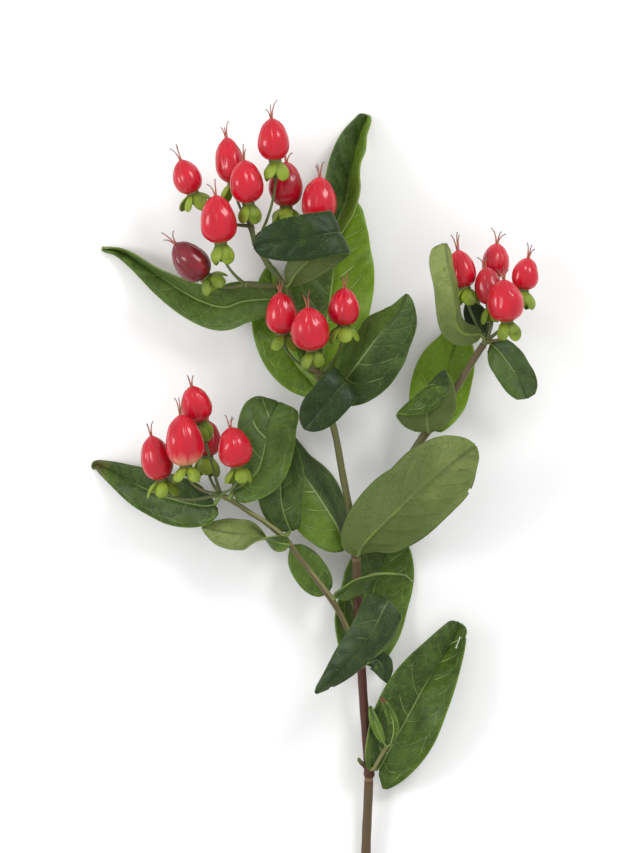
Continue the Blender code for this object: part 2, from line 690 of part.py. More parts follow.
def pedicel_points(berry, joint, foot):
    """A stalk that leaves its joint and bends into the berry's own axis."""
    start, end = Vector(joint), foot
    bend = end - berry_axis(berry) * (end - start).length * 0.45
    points = []
    for k in range(4):
        t = k / 3
        place = start * (1 - t) ** 2 + bend * 2 * t * (1 - t) + end * t**2
        points.append((*place, PEDICEL_RADIUS))
    return points


def build_joint(name, place, material, collection):
    """The slightly swollen place where stalks divide."""
    shape = bmesh.new()
    bmesh.ops.create_icosphere(shape, subdivisions=1, radius=JOINT_RADIUS * MM)
    mesh = bpy.data.meshes.new("joint")
    shape.to_mesh(mesh)
    shape.free()
    joint = add_object(name, mesh, material, collection)
    joint.matrix_world = Matrix.Translation(Vector(place) * MM)
    return joint


def build_cluster_stalks(name, joints, stalks, berries, material, collection):
    """The branched green stalk of one cluster with the cup and sepals of every berry, joined in one."""
    parts = [build_joint(f"{name}_{joint}", place, material, collection) for joint, place in joints.items()]
    for index, stalk in enumerate(stalks):
        points = [(*joints[joint], STALK_RADIUS) for joint in stalk]
        parts.append(tube_as_mesh(f"{name}_stalk_{index}", points, material, collection))
    for berry in berries:
        drop = berry.length / 2 + BERRY_GAP + RECEPTACLE_HEIGHT / 2
        foot = Vector(berry.centre) - berry_axis(berry) * drop
        parts.append(build_receptacle(berry, foot, material, collection))
        points = pedicel_points(berry, joints[berry.joint], foot)
        parts.append(tube_as_mesh(berry.name + "_pedicel", points, material, collection))
        for index in range(SEPALS):
            parts.append(build_sepal(berry, index, foot, material, collection))
    keep = parts[0]
    keep.name = name
    return union_of(keep, parts[1:])


def main():
    clear_scene()
    plant = bpy.data.collections.new("hypericum_stem")
    bpy.context.scene.collection.children.link(plant)
    brown = make_material("stem_bark", STEM_BROWN, 0.55)
    olive = make_material("branch_bark", STEM_GREEN, 0.55)
    green = make_material("leaf_blade", LEAF_GREEN, 0.45)
    lime = make_material("calyx_green", CALYX_GREEN, 0.45)
    red = make_material("berry_skin", BERRY_RED, 0.18)
    tube_object(MAIN_STEM.name, MAIN_STEM.points, brown, plant, STEM_BEVEL_RESOLUTION)
    for branch in (RIGHT_BRANCH, LEFT_BRANCH, SHOOT_STALK):
        tube_object(branch.name, branch.points, olive, plant, STEM_BEVEL_RESOLUTION)
    for leaf in LEAVES:
        build_leaf(leaf, green, plant)
    clusters = (
        ("top_cluster_stalks", TOP_JOINTS, TOP_STALKS, TOP_BERRIES),
        ("middle_cluster_stalks", MIDDLE_JOINTS, MIDDLE_STALKS, MIDDLE_BERRIES),
        ("right_cluster_stalks", RIGHT_JOINTS, RIGHT_STALKS, RIGHT_BERRIES),
        ("left_cluster_stalks", LEFT_JOINTS, LEFT_STALKS, LEFT_BERRIES),
    )
    for name, joints, stalks, berries in clusters:
        build_cluster_stalks(name, joints, stalks, berries, lime, plant)
        for berry in berries:
            build_berry(berry, red, plant)


main()
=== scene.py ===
"""The finished look of a cut hypericum stem with red berries, lying on a pale floor.

Metres, +Z up. +Y runs along the stem towards its tip. Lengths in the tables are millimetres.
"""

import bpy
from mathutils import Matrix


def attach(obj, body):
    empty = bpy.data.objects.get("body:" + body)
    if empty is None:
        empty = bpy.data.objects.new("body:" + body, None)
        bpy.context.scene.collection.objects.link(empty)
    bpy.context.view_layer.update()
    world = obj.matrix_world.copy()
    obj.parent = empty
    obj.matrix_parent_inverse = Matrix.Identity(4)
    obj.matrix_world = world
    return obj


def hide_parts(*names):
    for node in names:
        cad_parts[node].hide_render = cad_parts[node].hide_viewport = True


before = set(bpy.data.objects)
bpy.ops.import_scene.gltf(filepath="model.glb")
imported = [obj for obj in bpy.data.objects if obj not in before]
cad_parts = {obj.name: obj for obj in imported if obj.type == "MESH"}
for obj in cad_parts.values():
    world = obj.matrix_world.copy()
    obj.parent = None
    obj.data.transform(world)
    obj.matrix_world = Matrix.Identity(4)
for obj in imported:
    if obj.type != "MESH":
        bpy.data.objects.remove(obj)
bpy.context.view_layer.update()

import math
import random
from dataclasses import dataclass

import bpy
from mathutils import Matrix, Vector, noise

bl_info = {
    "name": "Hypericum berry stem",
    "version": (1, 0, 0),
    "blender": (4, 5, 0),
    "location": "View3D > Sidebar > Hypericum",
    "description": "Models the leaves, berries, stalks and bark of a cut hypericum stem",
    "category": "Add Mesh",
}

MM = 0.001
BODY = "root"
PHOTO_HEIGHT = 853
PIXELS_PER_MM = 3.0

# The leaf's outline
BASE_SHARE = 0.1
BASE_ROUND = 0.5
LOBE_REACH = 0.5
TIP_ROUND = 0.035
FRAME_STEPS = 96

# The laterals of a leaf: how far apart they leave the midrib, and how they lean and arch forward
VEIN_SPACING = 7.6
VEIN_LEAN_LOW = 0.15
VEIN_LEAN_HIGH = 0.85
VEIN_ARCH = 0.045
VEIN_DRIFT = 0.12
VEIN_SIDE_STEP = 0.22
LOOP_MIDDLE = 0.78
LOOP_SWING = 0.04

# The half-width from which a leaf has its full relief, and how far along it the raised midrib runs
LARGE_HALF_WIDTH = 9.0
MIDRIB_END = 0.82

# The heights on the stem where pairs of leaves sit, and where its bark changes colour
PAIR_HEIGHTS = (-85.6, -48.2, -12.4)
BARK_CHANGE_HEIGHT = -8.0

# The sepals, the cup and the styles
SEPALS = 5
SEPAL_UNEVEN = 6.0
SEPAL_FOOT = 1.25
SEPAL_RISE = 0.75
SEPAL_TWIST = math.radians(9)
STYLES = 3
CUP_HEIGHT = 1.6
BERRY_GAP = 0.35


@dataclass
class Tube:
    """A stem or branch: points on its centre line, each with the radius there."""

    name: str
    points: tuple


@dataclass
class Leaf:
    """A blade on a midrib that runs from the stem to the tip.

    face is 1 where the upper side looks up at the base, and -1 where the underside does. left and right are
    the angles that each half is lifted from flat towards the leaf's upper side, at the base, the middle and
    the tip, and roll turns the whole blade about its midrib, at the same three places. auricle is how far the
    left and right halves reach back past the midrib's start. widest is where along the midrib the blade is
    widest, blunt is 2 for a pointed end and more for a round one, and tip is the width left at the very end,
    as a share of half_width. crease is a diagonal fold: a point on it, and its direction. fresh is how far
    the left and right halves are from dark green, 0, to yellow-green, 1: partly the leaf's own colour and
    partly painted light, the glow of a leaf lit from behind and a lit half painted lighter than a shaded one.
    grey is how much painted grey-blue sheen its upper side has, and wither the brown at its tip. tears are
    places where the blade is gone: the middle and the half-size across and along it.
    """

    name: str
    midrib: tuple
    half_width: float
    face: int = 1
    left: tuple = (10, 10, 10)
    right: tuple = (10, 10, 10)
    roll: tuple = (0, 0, 0)
    widest: float = 0.42
    auricle: tuple = (2.0, 2.0)
    blunt: float = 2.2
    tip: float = 0.09
    crease: tuple = ()
    fresh: tuple = (0.35, 0.35)
    grey: float = 0.2
    wither: float = 0.0
    tears: tuple = ()


@dataclass
class Berry:
    """An egg-shaped capsule. lean turns its axis to the right of +Y, rise lifts it towards +Z, in degrees.

    dark is how maroon its skin is, and pale how far the pale skin at its foot reaches.
    """

    name: str
    centre: tuple
    length: float
    width: float
    lean: float
    rise: float
    joint: str
    reflex: float = 45.0
    dark: float = 0.1
    pale: float = 0.12


@dataclass
class Cluster:
    """A bunch of berries: where its stalks divide, the stalks between those places, and its berries."""

    name: str
    joints: dict
    stalks: tuple
    berries: tuple


MAIN_STEM = Tube(
    "main_stem",
    (
        (16.0, -140.0, 1.7, 1.65),
        (17.4, -111.0, 3.5, 1.6),
        (18.3, -88.0, 5.2, 1.55),
        (18.5, -85.0, 5.5, 1.9),
        (18.3, -82.0, 5.7, 1.6),
        (17.1, -66.7, 7.0, 1.55),
        (16.0, -51.0, 8.3, 1.5),
        (15.8, -47.7, 8.5, 1.85),
        (15.6, -44.5, 8.8, 1.5),
        (14.7, -30.3, 10.5, 1.45),
        (14.3, -15.0, 12.2, 1.45),
        (14.1, -12.0, 12.5, 1.7),
        (13.7, -9.0, 12.8, 1.3),
        (11.8, 4.3, 14.0, 1.2),
        (9.3, 17.0, 15.0, 1.2),
        (7.2, 28.7, 16.0, 1.15),
        (4.0, 40.7, 17.0, 1.2),
        (1.7, 48.0, 18.0, 1.2),
        (-3.3, 61.7, 20.0, 1.0),
        (-8.3, 76.0, 22.0, 1.0),
    ),
)
RIGHT_BRANCH = Tube(
    "right_branch",
    (
        (17.0, -7.0, 13.9, 1.2),
        (21.3, 2.3, 15.0, 1.15),
        (29.8, 17.7, 17.0, 1.15),
        (33.7, 24.5, 18.0, 1.15),
        (37.7, 30.0, 19.0, 1.4),
        (43.0, 37.7, 20.5, 1.2),
        (48.0, 45.7, 21.5, 1.2),
        (52.2, 52.5, 22.5, 1.15),
        (56.3, 58.8, 23.5, 1.2),
    ),
)
LEFT_BRANCH = Tube(
    "left_branch",
    (
        (12.4, -38.3, 11.1, 1.0),
        (8.7, -30.8, 13.0, 0.95),
        (5.3, -25.3, 14.5, 1.15),
        (-0.7, -17.3, 16.5, 0.9),
        (-5.0, -11.7, 18.0, 0.9),
        (-9.7, -5.7, 19.5, 1.1),
        (-15.8, -0.5, 20.5, 0.85),
        (-21.7, 3.3, 21.5, 0.85),
        (-26.0, 6.2, 22.0, 0.85),
        (-29.7, 8.3, 22.5, 1.0),
    ),
)
SHOOT_STALK = Tube(
    "shoot_stalk",
    (
        (20.1, -82.6, 9.6, 0.75),
        (21.3, -80.4, 11.8, 0.7),
        (22.8, -77.8, 13.3, 0.7),
        (24.3, -75.3, 14.1, 0.75),
    ),
)
DEAD_STUB = (
    (17.6, -82.6, 5.9, 0.8),
    (16.2, -81.3, 7.2, 0.75),
    (15.2, -80.0, 8.3, 0.65),
    (14.9, -79.3, 9.0, 0.3),
)

# Each leaf's pair of yellow-green shares paints its own colour together with painted light: the glow of a
# leaf lit from behind, and a lit half lighter than a shaded one
LEAVES = (
    Leaf(
        "leaf_lowest",
        ((21.9, -82.9, 6.0), (25.4, -76.3, 7.6), (29.6, -68.6, 8.6), (36.3, -56.2, 8.6),
         (43.2, -44.8, 7.0), (49.0, -34.2, 4.5)),
        12.4, left=(50, 15, 20), right=(0, 25, 40), auricle=(2.5, 7.6), widest=0.33, tip=0.25, blunt=1.9,
        fresh=(0.3, 0.4), tears=((0.5, 0.885, 0.08, 0.04), (1.0, 0.935, 0.1, 0.009)), grey=0.3,
    ),
    Leaf(
        "leaf_second_pair_back",
        ((15.8, -46.7, 5.9), (17.3, -37.3, 4.0), (18.6, -28.0, 2.2), (21.0, -20.0, 0.9),
         (24.0, -10.7, 0.35), (27.0, -1.3, 0.35)),
        12.8, left=(20, 36, 12), right=(5, 0, 0), auricle=(4.0, 3.0), blunt=3.0, fresh=(0.35, 0.5),
        grey=0.3,
    ),
    Leaf(
        "leaf_second_pair_front",
        ((16.3, -45.2, 11.7), (20.0, -39.0, 18.0), (23.2, -31.2, 25.0), (24.9, -25.9, 30.0),
         (23.2, -28.0, 34.0), (18.7, -36.7, 35.5), (12.7, -44.0, 34.0), (6.3, -51.3, 31.0),
         (0.3, -56.7, 27.0)),
        7.3, face=-1, left=(0, 0, -10), right=(0, -40, -45), auricle=(0.5, 0.5), widest=0.5,
        fresh=(0.1, 0.1), grey=0.5, tears=((0.95, 0.93, 0.08, 0.01),),
    ),
    Leaf(
        "leaf_second_pair_side",
        ((18.8, -47.3, 8.5), (21.0, -46.3, 9.8), (22.8, -48.7, 9.8), (24.4, -54.3, 8.3)),
        4.2, face=1, left=(0, 0, 0), right=(0, 0, 0), auricle=(0.0, 0.0), blunt=1.4, tip=0.02,
        fresh=(0.15, 0.15), grey=0.7,
    ),
    Leaf(
        "leaf_third_pair_big",
        ((14.8, -11.3, 15.9), (17.8, -6.0, 19.5), (27.7, 4.0, 26.5), (34.3, 10.3, 29.5),
         (46.5, 20.3, 32.5), (53.4, 25.5, 33.0)),
        13.6, face=-1, left=(-8, 45, 30), right=(8, 5, 20), auricle=(1.5, -4.0), widest=0.5, blunt=3.6,
        tip=0.2, fresh=(0.05, 0.2), tears=((0.99, 0.8, 0.05, 0.012),),
    ),
    Leaf(
        "leaf_third_pair_left",
        ((10.7, -9.4, 11.5), (7.3, -1.7, 12.0), (3.7, 4.3, 12.0), (-2.3, 13.3, 11.0), (-8.3, 20.7, 10.0),
         (-10.0, 31.7, 9.0)),
        12.2, left=(5, 8, 10), right=(-55, -52, -40), auricle=(0.0, 0.5), fresh=(0.75, 0.25), grey=0.4,
    ),
    Leaf(
        "leaf_fourth_pair_up",
        ((2.0, 48.7, 15.6), (4.0, 63.3, 12.5), (5.7, 76.7, 10.5), (7.7, 90.0, 8.8), (11.0, 99.3, 7.6),
         (14.3, 106.9, 7.0)),
        14.0, left=(5, 12, 18), right=(0, 0, 5), widest=0.5, auricle=(0.0, 0.0), fresh=(0.3, 0.9),
        grey=0.0,
    ),
    Leaf(
        "leaf_fourth_pair_left",
        ((0.0, 45.7, 14.6), (-6.0, 52.7, 11.8), (-10.0, 60.7, 8.5), (-12.7, 70.0, 5.8), (-14.3, 79.0, 4.4),
         (-14.7, 86.0, 4.0)),
        9.6, left=(0, 0, 0), right=(0, 0, 0), auricle=(4.0, 2.0), fresh=(0.6, 0.95), grey=0.0,
    ),
    Leaf(
        "leaf_fourth_pair_right",
        ((6.3, 43.0, 19.5), (12.3, 49.7, 26.0), (21.0, 61.3, 31.5), (27.5, 68.5, 33.0),
         (31.0, 75.5, 32.5)),
        12.9, left=(-48, -58, -58), right=(-5, -10, -10), auricle=(0.0, 3.6), fresh=(0.5, 0.25), grey=0.5,
    ),
    Leaf(
        "leaf_fourth_pair_front",
        ((3.3, 39.3, 19.4), (7.0, 42.8, 25.5), (9.8, 45.7, 31.0), (10.9, 46.6, 34.5), (8.4, 44.3, 38.0),
         (2.9, 38.2, 38.5), (-3.3, 30.9, 35.5)),
        6.8, face=-1, left=(0, 0, 0), right=(0, 0, 0), auricle=(0.5, 0.5), blunt=4.0, widest=0.6, tip=0.2,
        fresh=(0.0, 0.0), grey=0.1,
    ),
    Leaf(
        "leaf_top_pair_left",
        ((-11.3, 74.0, 20.3), (-18.0, 74.0, 18.8), (-24.3, 73.2, 16.6), (-30.7, 71.5, 14.0),
         (-39.7, 74.5, 10.0), (-49.7, 80.7, 6.0), (-59.7, 87.7, 2.8), (-65.7, 91.0, 1.2),
         (-71.2, 91.6, 0.6)),
        8.0, left=(0, 25, 50), right=(15, 45, 78), auricle=(1.0, 0.5), widest=0.3, blunt=1.6, tip=0.16,
        fresh=(0.5, 0.45), grey=0.5,
    ),
    Leaf(
        "leaf_top_pair_front",
        ((-8.0, 79.0, 25.4), (-5.5, 82.8, 28.0), (0.5, 88.8, 31.0), (6.3, 93.6, 35.0), (8.8, 95.7, 39.0),
         (6.7, 95.6, 42.0), (-1.3, 94.3, 43.5), (-10.3, 93.0, 42.5), (-19.9, 91.0, 39.0)),
        7.9, face=-1, left=(15, 0, -5), right=(10, 0, -5), auricle=(0.0, 0.0), widest=0.45, blunt=4.5,
        tip=0.3, roll=(0, -30, -60), fresh=(0.0, 0.0), grey=0.0,
    ),
    Leaf(
        "leaf_top_tall",
        ((-0.5, 89.0, 19.8), (4.7, 95.3, 16.8), (8.6, 101.7, 14.0), (10.7, 107.3, 11.5),
         (11.5, 113.0, 9.0), (12.5, 120.0, 6.0), (14.3, 127.0, 3.2), (16.2, 132.3, 1.2),
         (17.9, 136.4, 0.5)),
        9.5, left=(10, 20, 30), right=(60, 82, 72), auricle=(0.0, 0.0), tip=0.3, fresh=(0.2, 0.75),
        grey=0.3,
    ),
    Leaf(
        "leaf_left_branch_long",
        ((-33.2, 5.6, 19.8), (-38.0, 5.3, 17.0), (-48.0, 7.6, 12.0), (-58.0, 11.5, 7.0),
         (-67.3, 16.3, 3.0), (-72.7, 18.7, 1.2), (-74.6, 17.7, 0.6)),
        8.6, left=(0, 5, 20), auricle=(2.0, 0.0), widest=0.32, blunt=1.7, fresh=(0.3, 0.18), wither=0.3,
        grey=0.0,
    ),
    Leaf(
        "leaf_left_branch_up",
        ((-26.6, 10.5, 24.0), (-23.5, 12.5, 25.0), (-18.6, 17.3, 25.0), (-16.3, 25.3, 24.2),
         (-15.3, 33.0, 23.0), (-13.4, 37.2, 20.8), (-11.8, 40.0, 18.0)),
        9.8, left=(-20, 0, -5), right=(20, 5, 10), auricle=(0.0, 1.8), blunt=6.0, widest=0.5, tip=0.6,
        fresh=(0.4, 0.5), grey=0.6,
    ),
    Leaf(
        "leaf_left_branch_middle_up",
        ((-7.9, -3.0, 16.8), (-10.0, 2.7, 17.6), (-11.0, 7.7, 18.0), (-11.7, 16.7, 17.0),
         (-14.7, 26.7, 15.5), (-18.3, 35.7, 14.0), (-20.7, 41.0, 12.5)),
        8.3, left=(0, 8, 10), right=(5, 5, 5), auricle=(0.0, 1.0), fresh=(0.28, 0.33), grey=0.5,
    ),
    Leaf(
        "leaf_left_branch_middle_left",
        ((-8.4, -7.6, 21.6), (-13.0, -6.7, 21.8), (-19.7, -4.6, 20.0), (-28.0, -3.9, 17.0),
         (-37.3, -2.1, 14.0)),
        5.4, roll=(0, -165, -175), auricle=(0.0, 0.0), widest=0.6, blunt=2.6, fresh=(0.6, 0.4), grey=0.5,
    ),
    Leaf(
        "leaf_left_branch_low_up",
        ((4.3, -24.0, 12.4), (0.3, -19.0, 11.2), (-3.7, -13.3, 10.5), (-6.7, -8.0, 10.0)),
        5.6, left=(0, 0, 0), right=(0, 0, 0), blunt=3.0, auricle=(0.0, 0.0), tip=0.2, fresh=(0.5, 0.45),
        grey=0.3,
    ),
    Leaf(
        "leaf_left_branch_low_right",
        ((7.7, -25.3, 16.0), (10.7, -23.3, 19.5), (14.3, -20.3, 22.5), (19.0, -17.7, 23.8),
         (24.3, -17.2, 23.5), (29.3, -18.0, 21.5), (33.0, -20.3, 18.5)),
        5.5, left=(20, 10, 10), right=(20, 10, 10), roll=(40, 80, 85), auricle=(0.0, 0.0),
        fresh=(0.55, 0.7), grey=0.9,
    ),
    Leaf(
        "leaf_right_branch_back",
        ((38.9, 31.2, 15.6), (41.3, 40.0, 11.5), (44.3, 50.7, 7.0), (47.0, 58.3, 3.4), (49.7, 66.3, 0.5)),
        10.3, left=(0, 0, 0), right=(10, 25, 20), auricle=(3.0, 2.0), fresh=(1.1, 1.0), grey=0.0,
    ),
    Leaf(
        "leaf_right_branch_front",
        ((38.0, 29.8, 21.3), (37.3, 36.0, 23.5), (36.6, 44.0, 25.0), (35.9, 53.8, 26.0)),
        10.3, face=-1, left=(0, 0, 0), right=(0, 0, 0), auricle=(0.0, 0.0),
        blunt=2.8, tip=0.3, crease=((36.6, 41.9, 25.0), (15.8, 17.2)), fresh=(0.3, 0.1), grey=0.1,
    ),
    Leaf(
        "leaf_right_top_left",
        ((55.3, 62.4, 25.6), (49.9, 62.4, 27.6), (47.0, 65.6, 30.0), (46.4, 72.2, 33.0),
         (45.8, 78.8, 34.0), (44.3, 85.5, 33.0), (43.3, 92.3, 31.0)),
        6.2, face=-1, left=(15, 40, 35), right=(15, 40, 35), auricle=(0.0, 0.0), blunt=6.0, widest=0.55,
        tip=0.5, fresh=(0.5, 0.5), grey=0.5,
    ),
    Leaf(
        "leaf_right_top_back",
        ((56.8, 62.8, 19.5), (55.3, 66.0, 16.5), (53.0, 70.7, 14.0), (51.8, 74.7, 12.5)),
        4.0, left=(0, 0, 0), right=(0, 0, 0), auricle=(0.0, 0.0), fresh=(0.0, 0.0),
    ),
    Leaf(
        "leaf_right_top_right",
        ((58.9, 59.2, 22.0), (61.3, 57.0, 23.3), (65.0, 52.2, 24.3), (68.5, 46.5, 22.5),
         (70.9, 41.0, 19.5)),
        6.0, left=(10, 15, 10), right=(-10, -10, -10), auricle=(0.0, 0.0), blunt=4.0, tip=0.4, widest=0.4,
        fresh=(0.3, 0.6), grey=1.0,
    ),
    Leaf(
        "leaf_shoot_left",
        ((23.3, -73.9, 14.6), (21.6, -70.2, 15.6), (19.8, -65.5, 16.0), (18.7, -61.5, 16.0)),
        1.6, auricle=(0.0, 0.0), fresh=(0.75, 0.75), grey=0.9,
    ),
    Leaf(
        "leaf_shoot_right",
        ((25.6, -74.4, 15.2), (26.6, -68.8, 17.2), (25.2, -63.5, 18.2), (22.3, -58.5, 18.4)),
        1.8, auricle=(0.0, 0.0), fresh=(0.35, 0.4), wither=1.0,
    ),
)

TOP_CLUSTER = Cluster(
    "top_cluster_stalks",
    {
        "start": (-8.9, 77.8, 22.2),
        "left_low": (-15.3, 85.7, 24.0),
        "left_mid": (-19.3, 92.3, 25.5),
        "left_high": (-21.0, 98.3, 26.8),
        "right": (-2.0, 87.7, 21.5),
        "side": (-22.7, 78.9, 25.0),
    },
    (("start", "left_low", "left_mid", "left_high"), ("start", "right"), ("start", "side")),
    (
        Berry("berry_top_1", (-42.3, 114.8, 22.0), 11.8, 9.5, -20, 5, "left_high"),
        Berry("berry_top_2", (-28.0, 120.3, 19.0), 15.3, 9.8, -9, 0, "left_high"),
        Berry("berry_top_3", (-13.5, 126.7, 31.0), 14.0, 10.7, -5, 5, "left_mid", 58),
        Berry("berry_top_4", (-22.5, 112.7, 31.5), 14.3, 11.3, -6, 8, "left_high", 66),
        Berry("berry_top_5", (-9.3, 112.3, 18.0), 15.0, 11.4, 0, 0, "right", dark=0.35),
        Berry("berry_top_6", (1.8, 107.0, 25.5), 15.0, 11.8, 0, 5, "right", 60),
        Berry("berry_top_7", (-31.7, 100.2, 33.0), 15.9, 12.2, -6, 8, "side", 66),
        Berry("berry_top_8", (-41.0, 86.8, 26.0), 15.0, 11.5, -42, 5, "side", dark=0.9, pale=0.04),
    ),
)
MIDDLE_CLUSTER = Cluster(
    "middle_cluster_stalks",
    {"start": (2.6, 49.2, 21.2)},
    (),
    (
        Berry("berry_middle_1", (-10.8, 69.2, 29.0), 13.8, 10.4, -4, 10, "start"),
        Berry("berry_middle_2", (-1.3, 64.0, 36.5), 14.5, 12.9, -6, 18, "start", 58),
        Berry("berry_middle_3", (10.0, 71.3, 31.0), 12.5, 10.4, 1, 8, "start"),
    ),
)
RIGHT_CLUSTER = Cluster(
    "right_cluster_stalks",
    {"start": (57.2, 60.2, 23.8)},
    (),
    (
        Berry("berry_right_1", (49.0, 84.0, 22.0), 12.8, 10.0, -10, 0, "start"),
        Berry("berry_right_2", (60.5, 87.0, 16.0), 11.5, 9.3, 5, 0, "start", 62),
        Berry("berry_right_3", (70.2, 82.3, 27.0), 10.8, 8.9, 10, 5, "start", 60),
        Berry("berry_right_4", (58.0, 78.3, 26.2), 12.5, 9.5, -10, 5, "start", 62, dark=0.4),
        Berry("berry_right_5", (63.3, 73.3, 36.5), 14.0, 12.2, -5, 15, "start", 60),
    ),
)
LEFT_CLUSTER = Cluster(
    "left_cluster_stalks",
    {"start": (-31.2, 9.2, 22.8)},
    (),
    (
        Berry("berry_left_1", (-39.2, 39.2, 27.0), 12.6, 10.4, -14, 22, "start", 66),
        Berry("berry_left_2", (-43.2, 27.0, 34.0), 17.0, 12.7, -6, 10, "start", pale=0.3),
        Berry("berry_left_3", (-52.3, 21.2, 26.0), 15.0, 10.7, -14, 5, "start", dark=0.2),
        Berry("berry_left_4", (-35.7, 27.6, 14.0), 12.0, 9.0, 0, 0, "start", 58, dark=0.55),
        Berry("berry_left_5", (-26.5, 24.8, 33.0), 13.4, 11.4, -10, 10, "start"),
    ),
)
CLUSTERS = (TOP_CLUSTER, MIDDLE_CLUSTER, RIGHT_CLUSTER, LEFT_CLUSTER)


def length_setting(name, description, millimetres):
    """A length that the user can change."""
    return bpy.props.FloatProperty(
        name=name, description=description, default=millimetres * MM, min=0.0, precision=5, unit="LENGTH"
    )


def share_setting(name, description, share):
    """A share from 0 to 1 that the user can change."""
    return bpy.props.FloatProperty(
        name=name, description=description, default=share, min=0.0, max=1.0, subtype="FACTOR"
    )


def colour_setting(name, description, colour):
    """A colour that the user can change."""
    return bpy.props.FloatVectorProperty(
        name=name, description=description, default=colour, min=0.0, max=1.0, size=4, subtype="COLOR"
    )


class HYPERICUM_PG_leaves(bpy.types.PropertyGroup):
    """Sizes and colours of the leaves."""

    thickness: length_setting("Thickness", "Thickness of a blade", 0.45)
    quilting: length_setting("Quilting", "How far the blade swells between its side veins", 0.39)
    groove: length_setting("Groove", "How deep the midrib lies in the upper side", 0.45)
    waviness: length_setting("Waviness", "How far the blade's edge waves", 0.625)
    midrib: length_setting("Midrib", "Radius of the midrib where a large leaf meets its stem", 0.8)
    dark: colour_setting("Dark", "The upper side of an old leaf", (0.010, 0.026, 0.0035, 1))
    # This yellow-green is also the colour of painted backlight: a leaf lit from behind is painted with it
    fresh: colour_setting("Fresh", "The upper side of a fresh leaf in the light", (0.18, 0.32, 0.011, 1))
    # The grey-blue cast is painted sheen: the soft light's reflection painted into the colour of the upper
    # side
    grey_sheen: colour_setting("Bloom", "The grey-blue cast of the upper side", (0.06, 0.088, 0.045, 1))
    vein: colour_setting("Vein", "The midrib and side veins on the upper side", (0.34, 0.45, 0.14, 1))
    under: colour_setting("Underside", "The underside between its veins", (0.098, 0.136, 0.036, 1))
    # The underside's yellow-green share also carries painted light, as on the upper side
    under_fresh_and_lit: colour_setting("Fresh underside", "The underside of a fresh leaf", (0.23, 0.28, 0.085, 1))
    under_vein: colour_setting("Underside vein", "The veins on the underside", (0.042, 0.068, 0.018, 1))
    rim: colour_setting("Rim", "The thin edge of a blade", (0.16, 0.23, 0.035, 1))
    brown: colour_setting("Brown", "Withered places", (0.13, 0.06, 0.025, 1))
    roughness: share_setting("Roughness", "Roughness of the upper side", 0.4)


class HYPERICUM_PG_berries(bpy.types.PropertyGroup):
    """Sizes and colours of the berries."""

    suture: share_setting("Suture", "Depth of a berry's three grooves, as a share of its radius", 0.1)
    wrinkle: share_setting("Wrinkles", "Depth of the wrinkles at its tip, as a share of its radius", 0.14)
    style_length: length_setting("Style length", "Length of the threads on a berry's tip", 6.4)
    style_radius: length_setting("Style radius", "Radius of a thread at its foot", 0.3)
    red: colour_setting("Red", "The skin of a ripe berry", (0.57, 0.003, 0.018, 1))
    maroon: colour_setting("Maroon", "The skin of an overripe berry", (0.13, 0.006, 0.012, 1))
    pale: colour_setting("Pale", "The skin at a berry's foot", (0.80, 0.42, 0.24, 1))
    thread: colour_setting("Thread", "The threads on a berry's tip", (0.36, 0.10, 0.06, 1))
    thread_tip: colour_setting("Thread tip", "The dry end of a thread", (0.05, 0.025, 0.02, 1))
    gloss: share_setting("Gloss", "Weight of the waxy coat", 0.55)


class HYPERICUM_PG_stalks(bpy.types.PropertyGroup):
    """Sizes and colours of the berry stalks and sepals."""

    sepal_length: length_setting("Sepal length", "Length of a sepal", 6.2)
    sepal_width: length_setting("Sepal width", "Width of a sepal", 4.9)
    sepal_thickness: length_setting("Sepal thickness", "Thickness of a sepal", 0.42)
    stalk_radius: length_setting("Stalk radius", "Radius of a berry's stalk", 0.62)
    main_radius: length_setting("Main radius", "Radius of the stalks between joints", 0.88)
    joint_radius: length_setting("Joint radius", "Radius of the swelling where stalks divide", 1.2)
    sepal: colour_setting("Sepal", "The sepals", (0.25, 0.34, 0.03, 1))
    sepal_dark: colour_setting("Dark sepal", "Veins and darker parts of the sepals", (0.075, 0.115, 0.012, 1))
    stalk: colour_setting("Stalk", "The berry stalks", (0.09, 0.125, 0.03, 1))
    blush: colour_setting("Blush", "Brown patches on the stalks", (0.13, 0.07, 0.03, 1))


class HYPERICUM_PG_bark(bpy.types.PropertyGroup):
    """Sizes and colours of the stem's and branches' bark."""

    ridge: share_setting("Ridge", "Height of the two ridges along a stem, as a share of its radius", 0.07)
    brown: colour_setting("Brown", "Bark of the lower stem", (0.075, 0.024, 0.015, 1))
    tan: colour_setting("Tan", "Lighter bark on the lower stem", (0.11, 0.085, 0.04, 1))
    olive: colour_setting("Olive", "Bark of the upper stem and the branches", (0.105, 0.11, 0.036, 1))
    flank: colour_setting("Flank", "The paler bark down one side of the stem", (0.24, 0.23, 0.09, 1))
    ring: colour_setting("Ring", "The pale ring where a pair of leaves sits", (0.27, 0.20, 0.11, 1))
    wood: colour_setting("Wood", "The wood on the cut end", (0.52, 0.44, 0.26, 1))


class HYPERICUM_PG_stage(bpy.types.PropertyGroup):
    """The floor, the lamps and the camera."""

    floor_size: length_setting("Floor size", "Width of the floor", 6000)
    floor: colour_setting("Floor", "Colour of the floor", (0.93, 0.93, 0.93, 1))
    camera_height: length_setting("Camera height", "Height of the camera above what it looks at", 2200)
    sky: bpy.props.FloatProperty(name="Sky", description="Strength of the light all round", default=0.85)
    left_lamp: bpy.props.FloatProperty(name="Left lamp", description="Power of the left lamp", default=3.8)
    right_lamp: bpy.props.FloatProperty(
        name="Right lamp", description="Power of the right lamp", default=4.6
    )


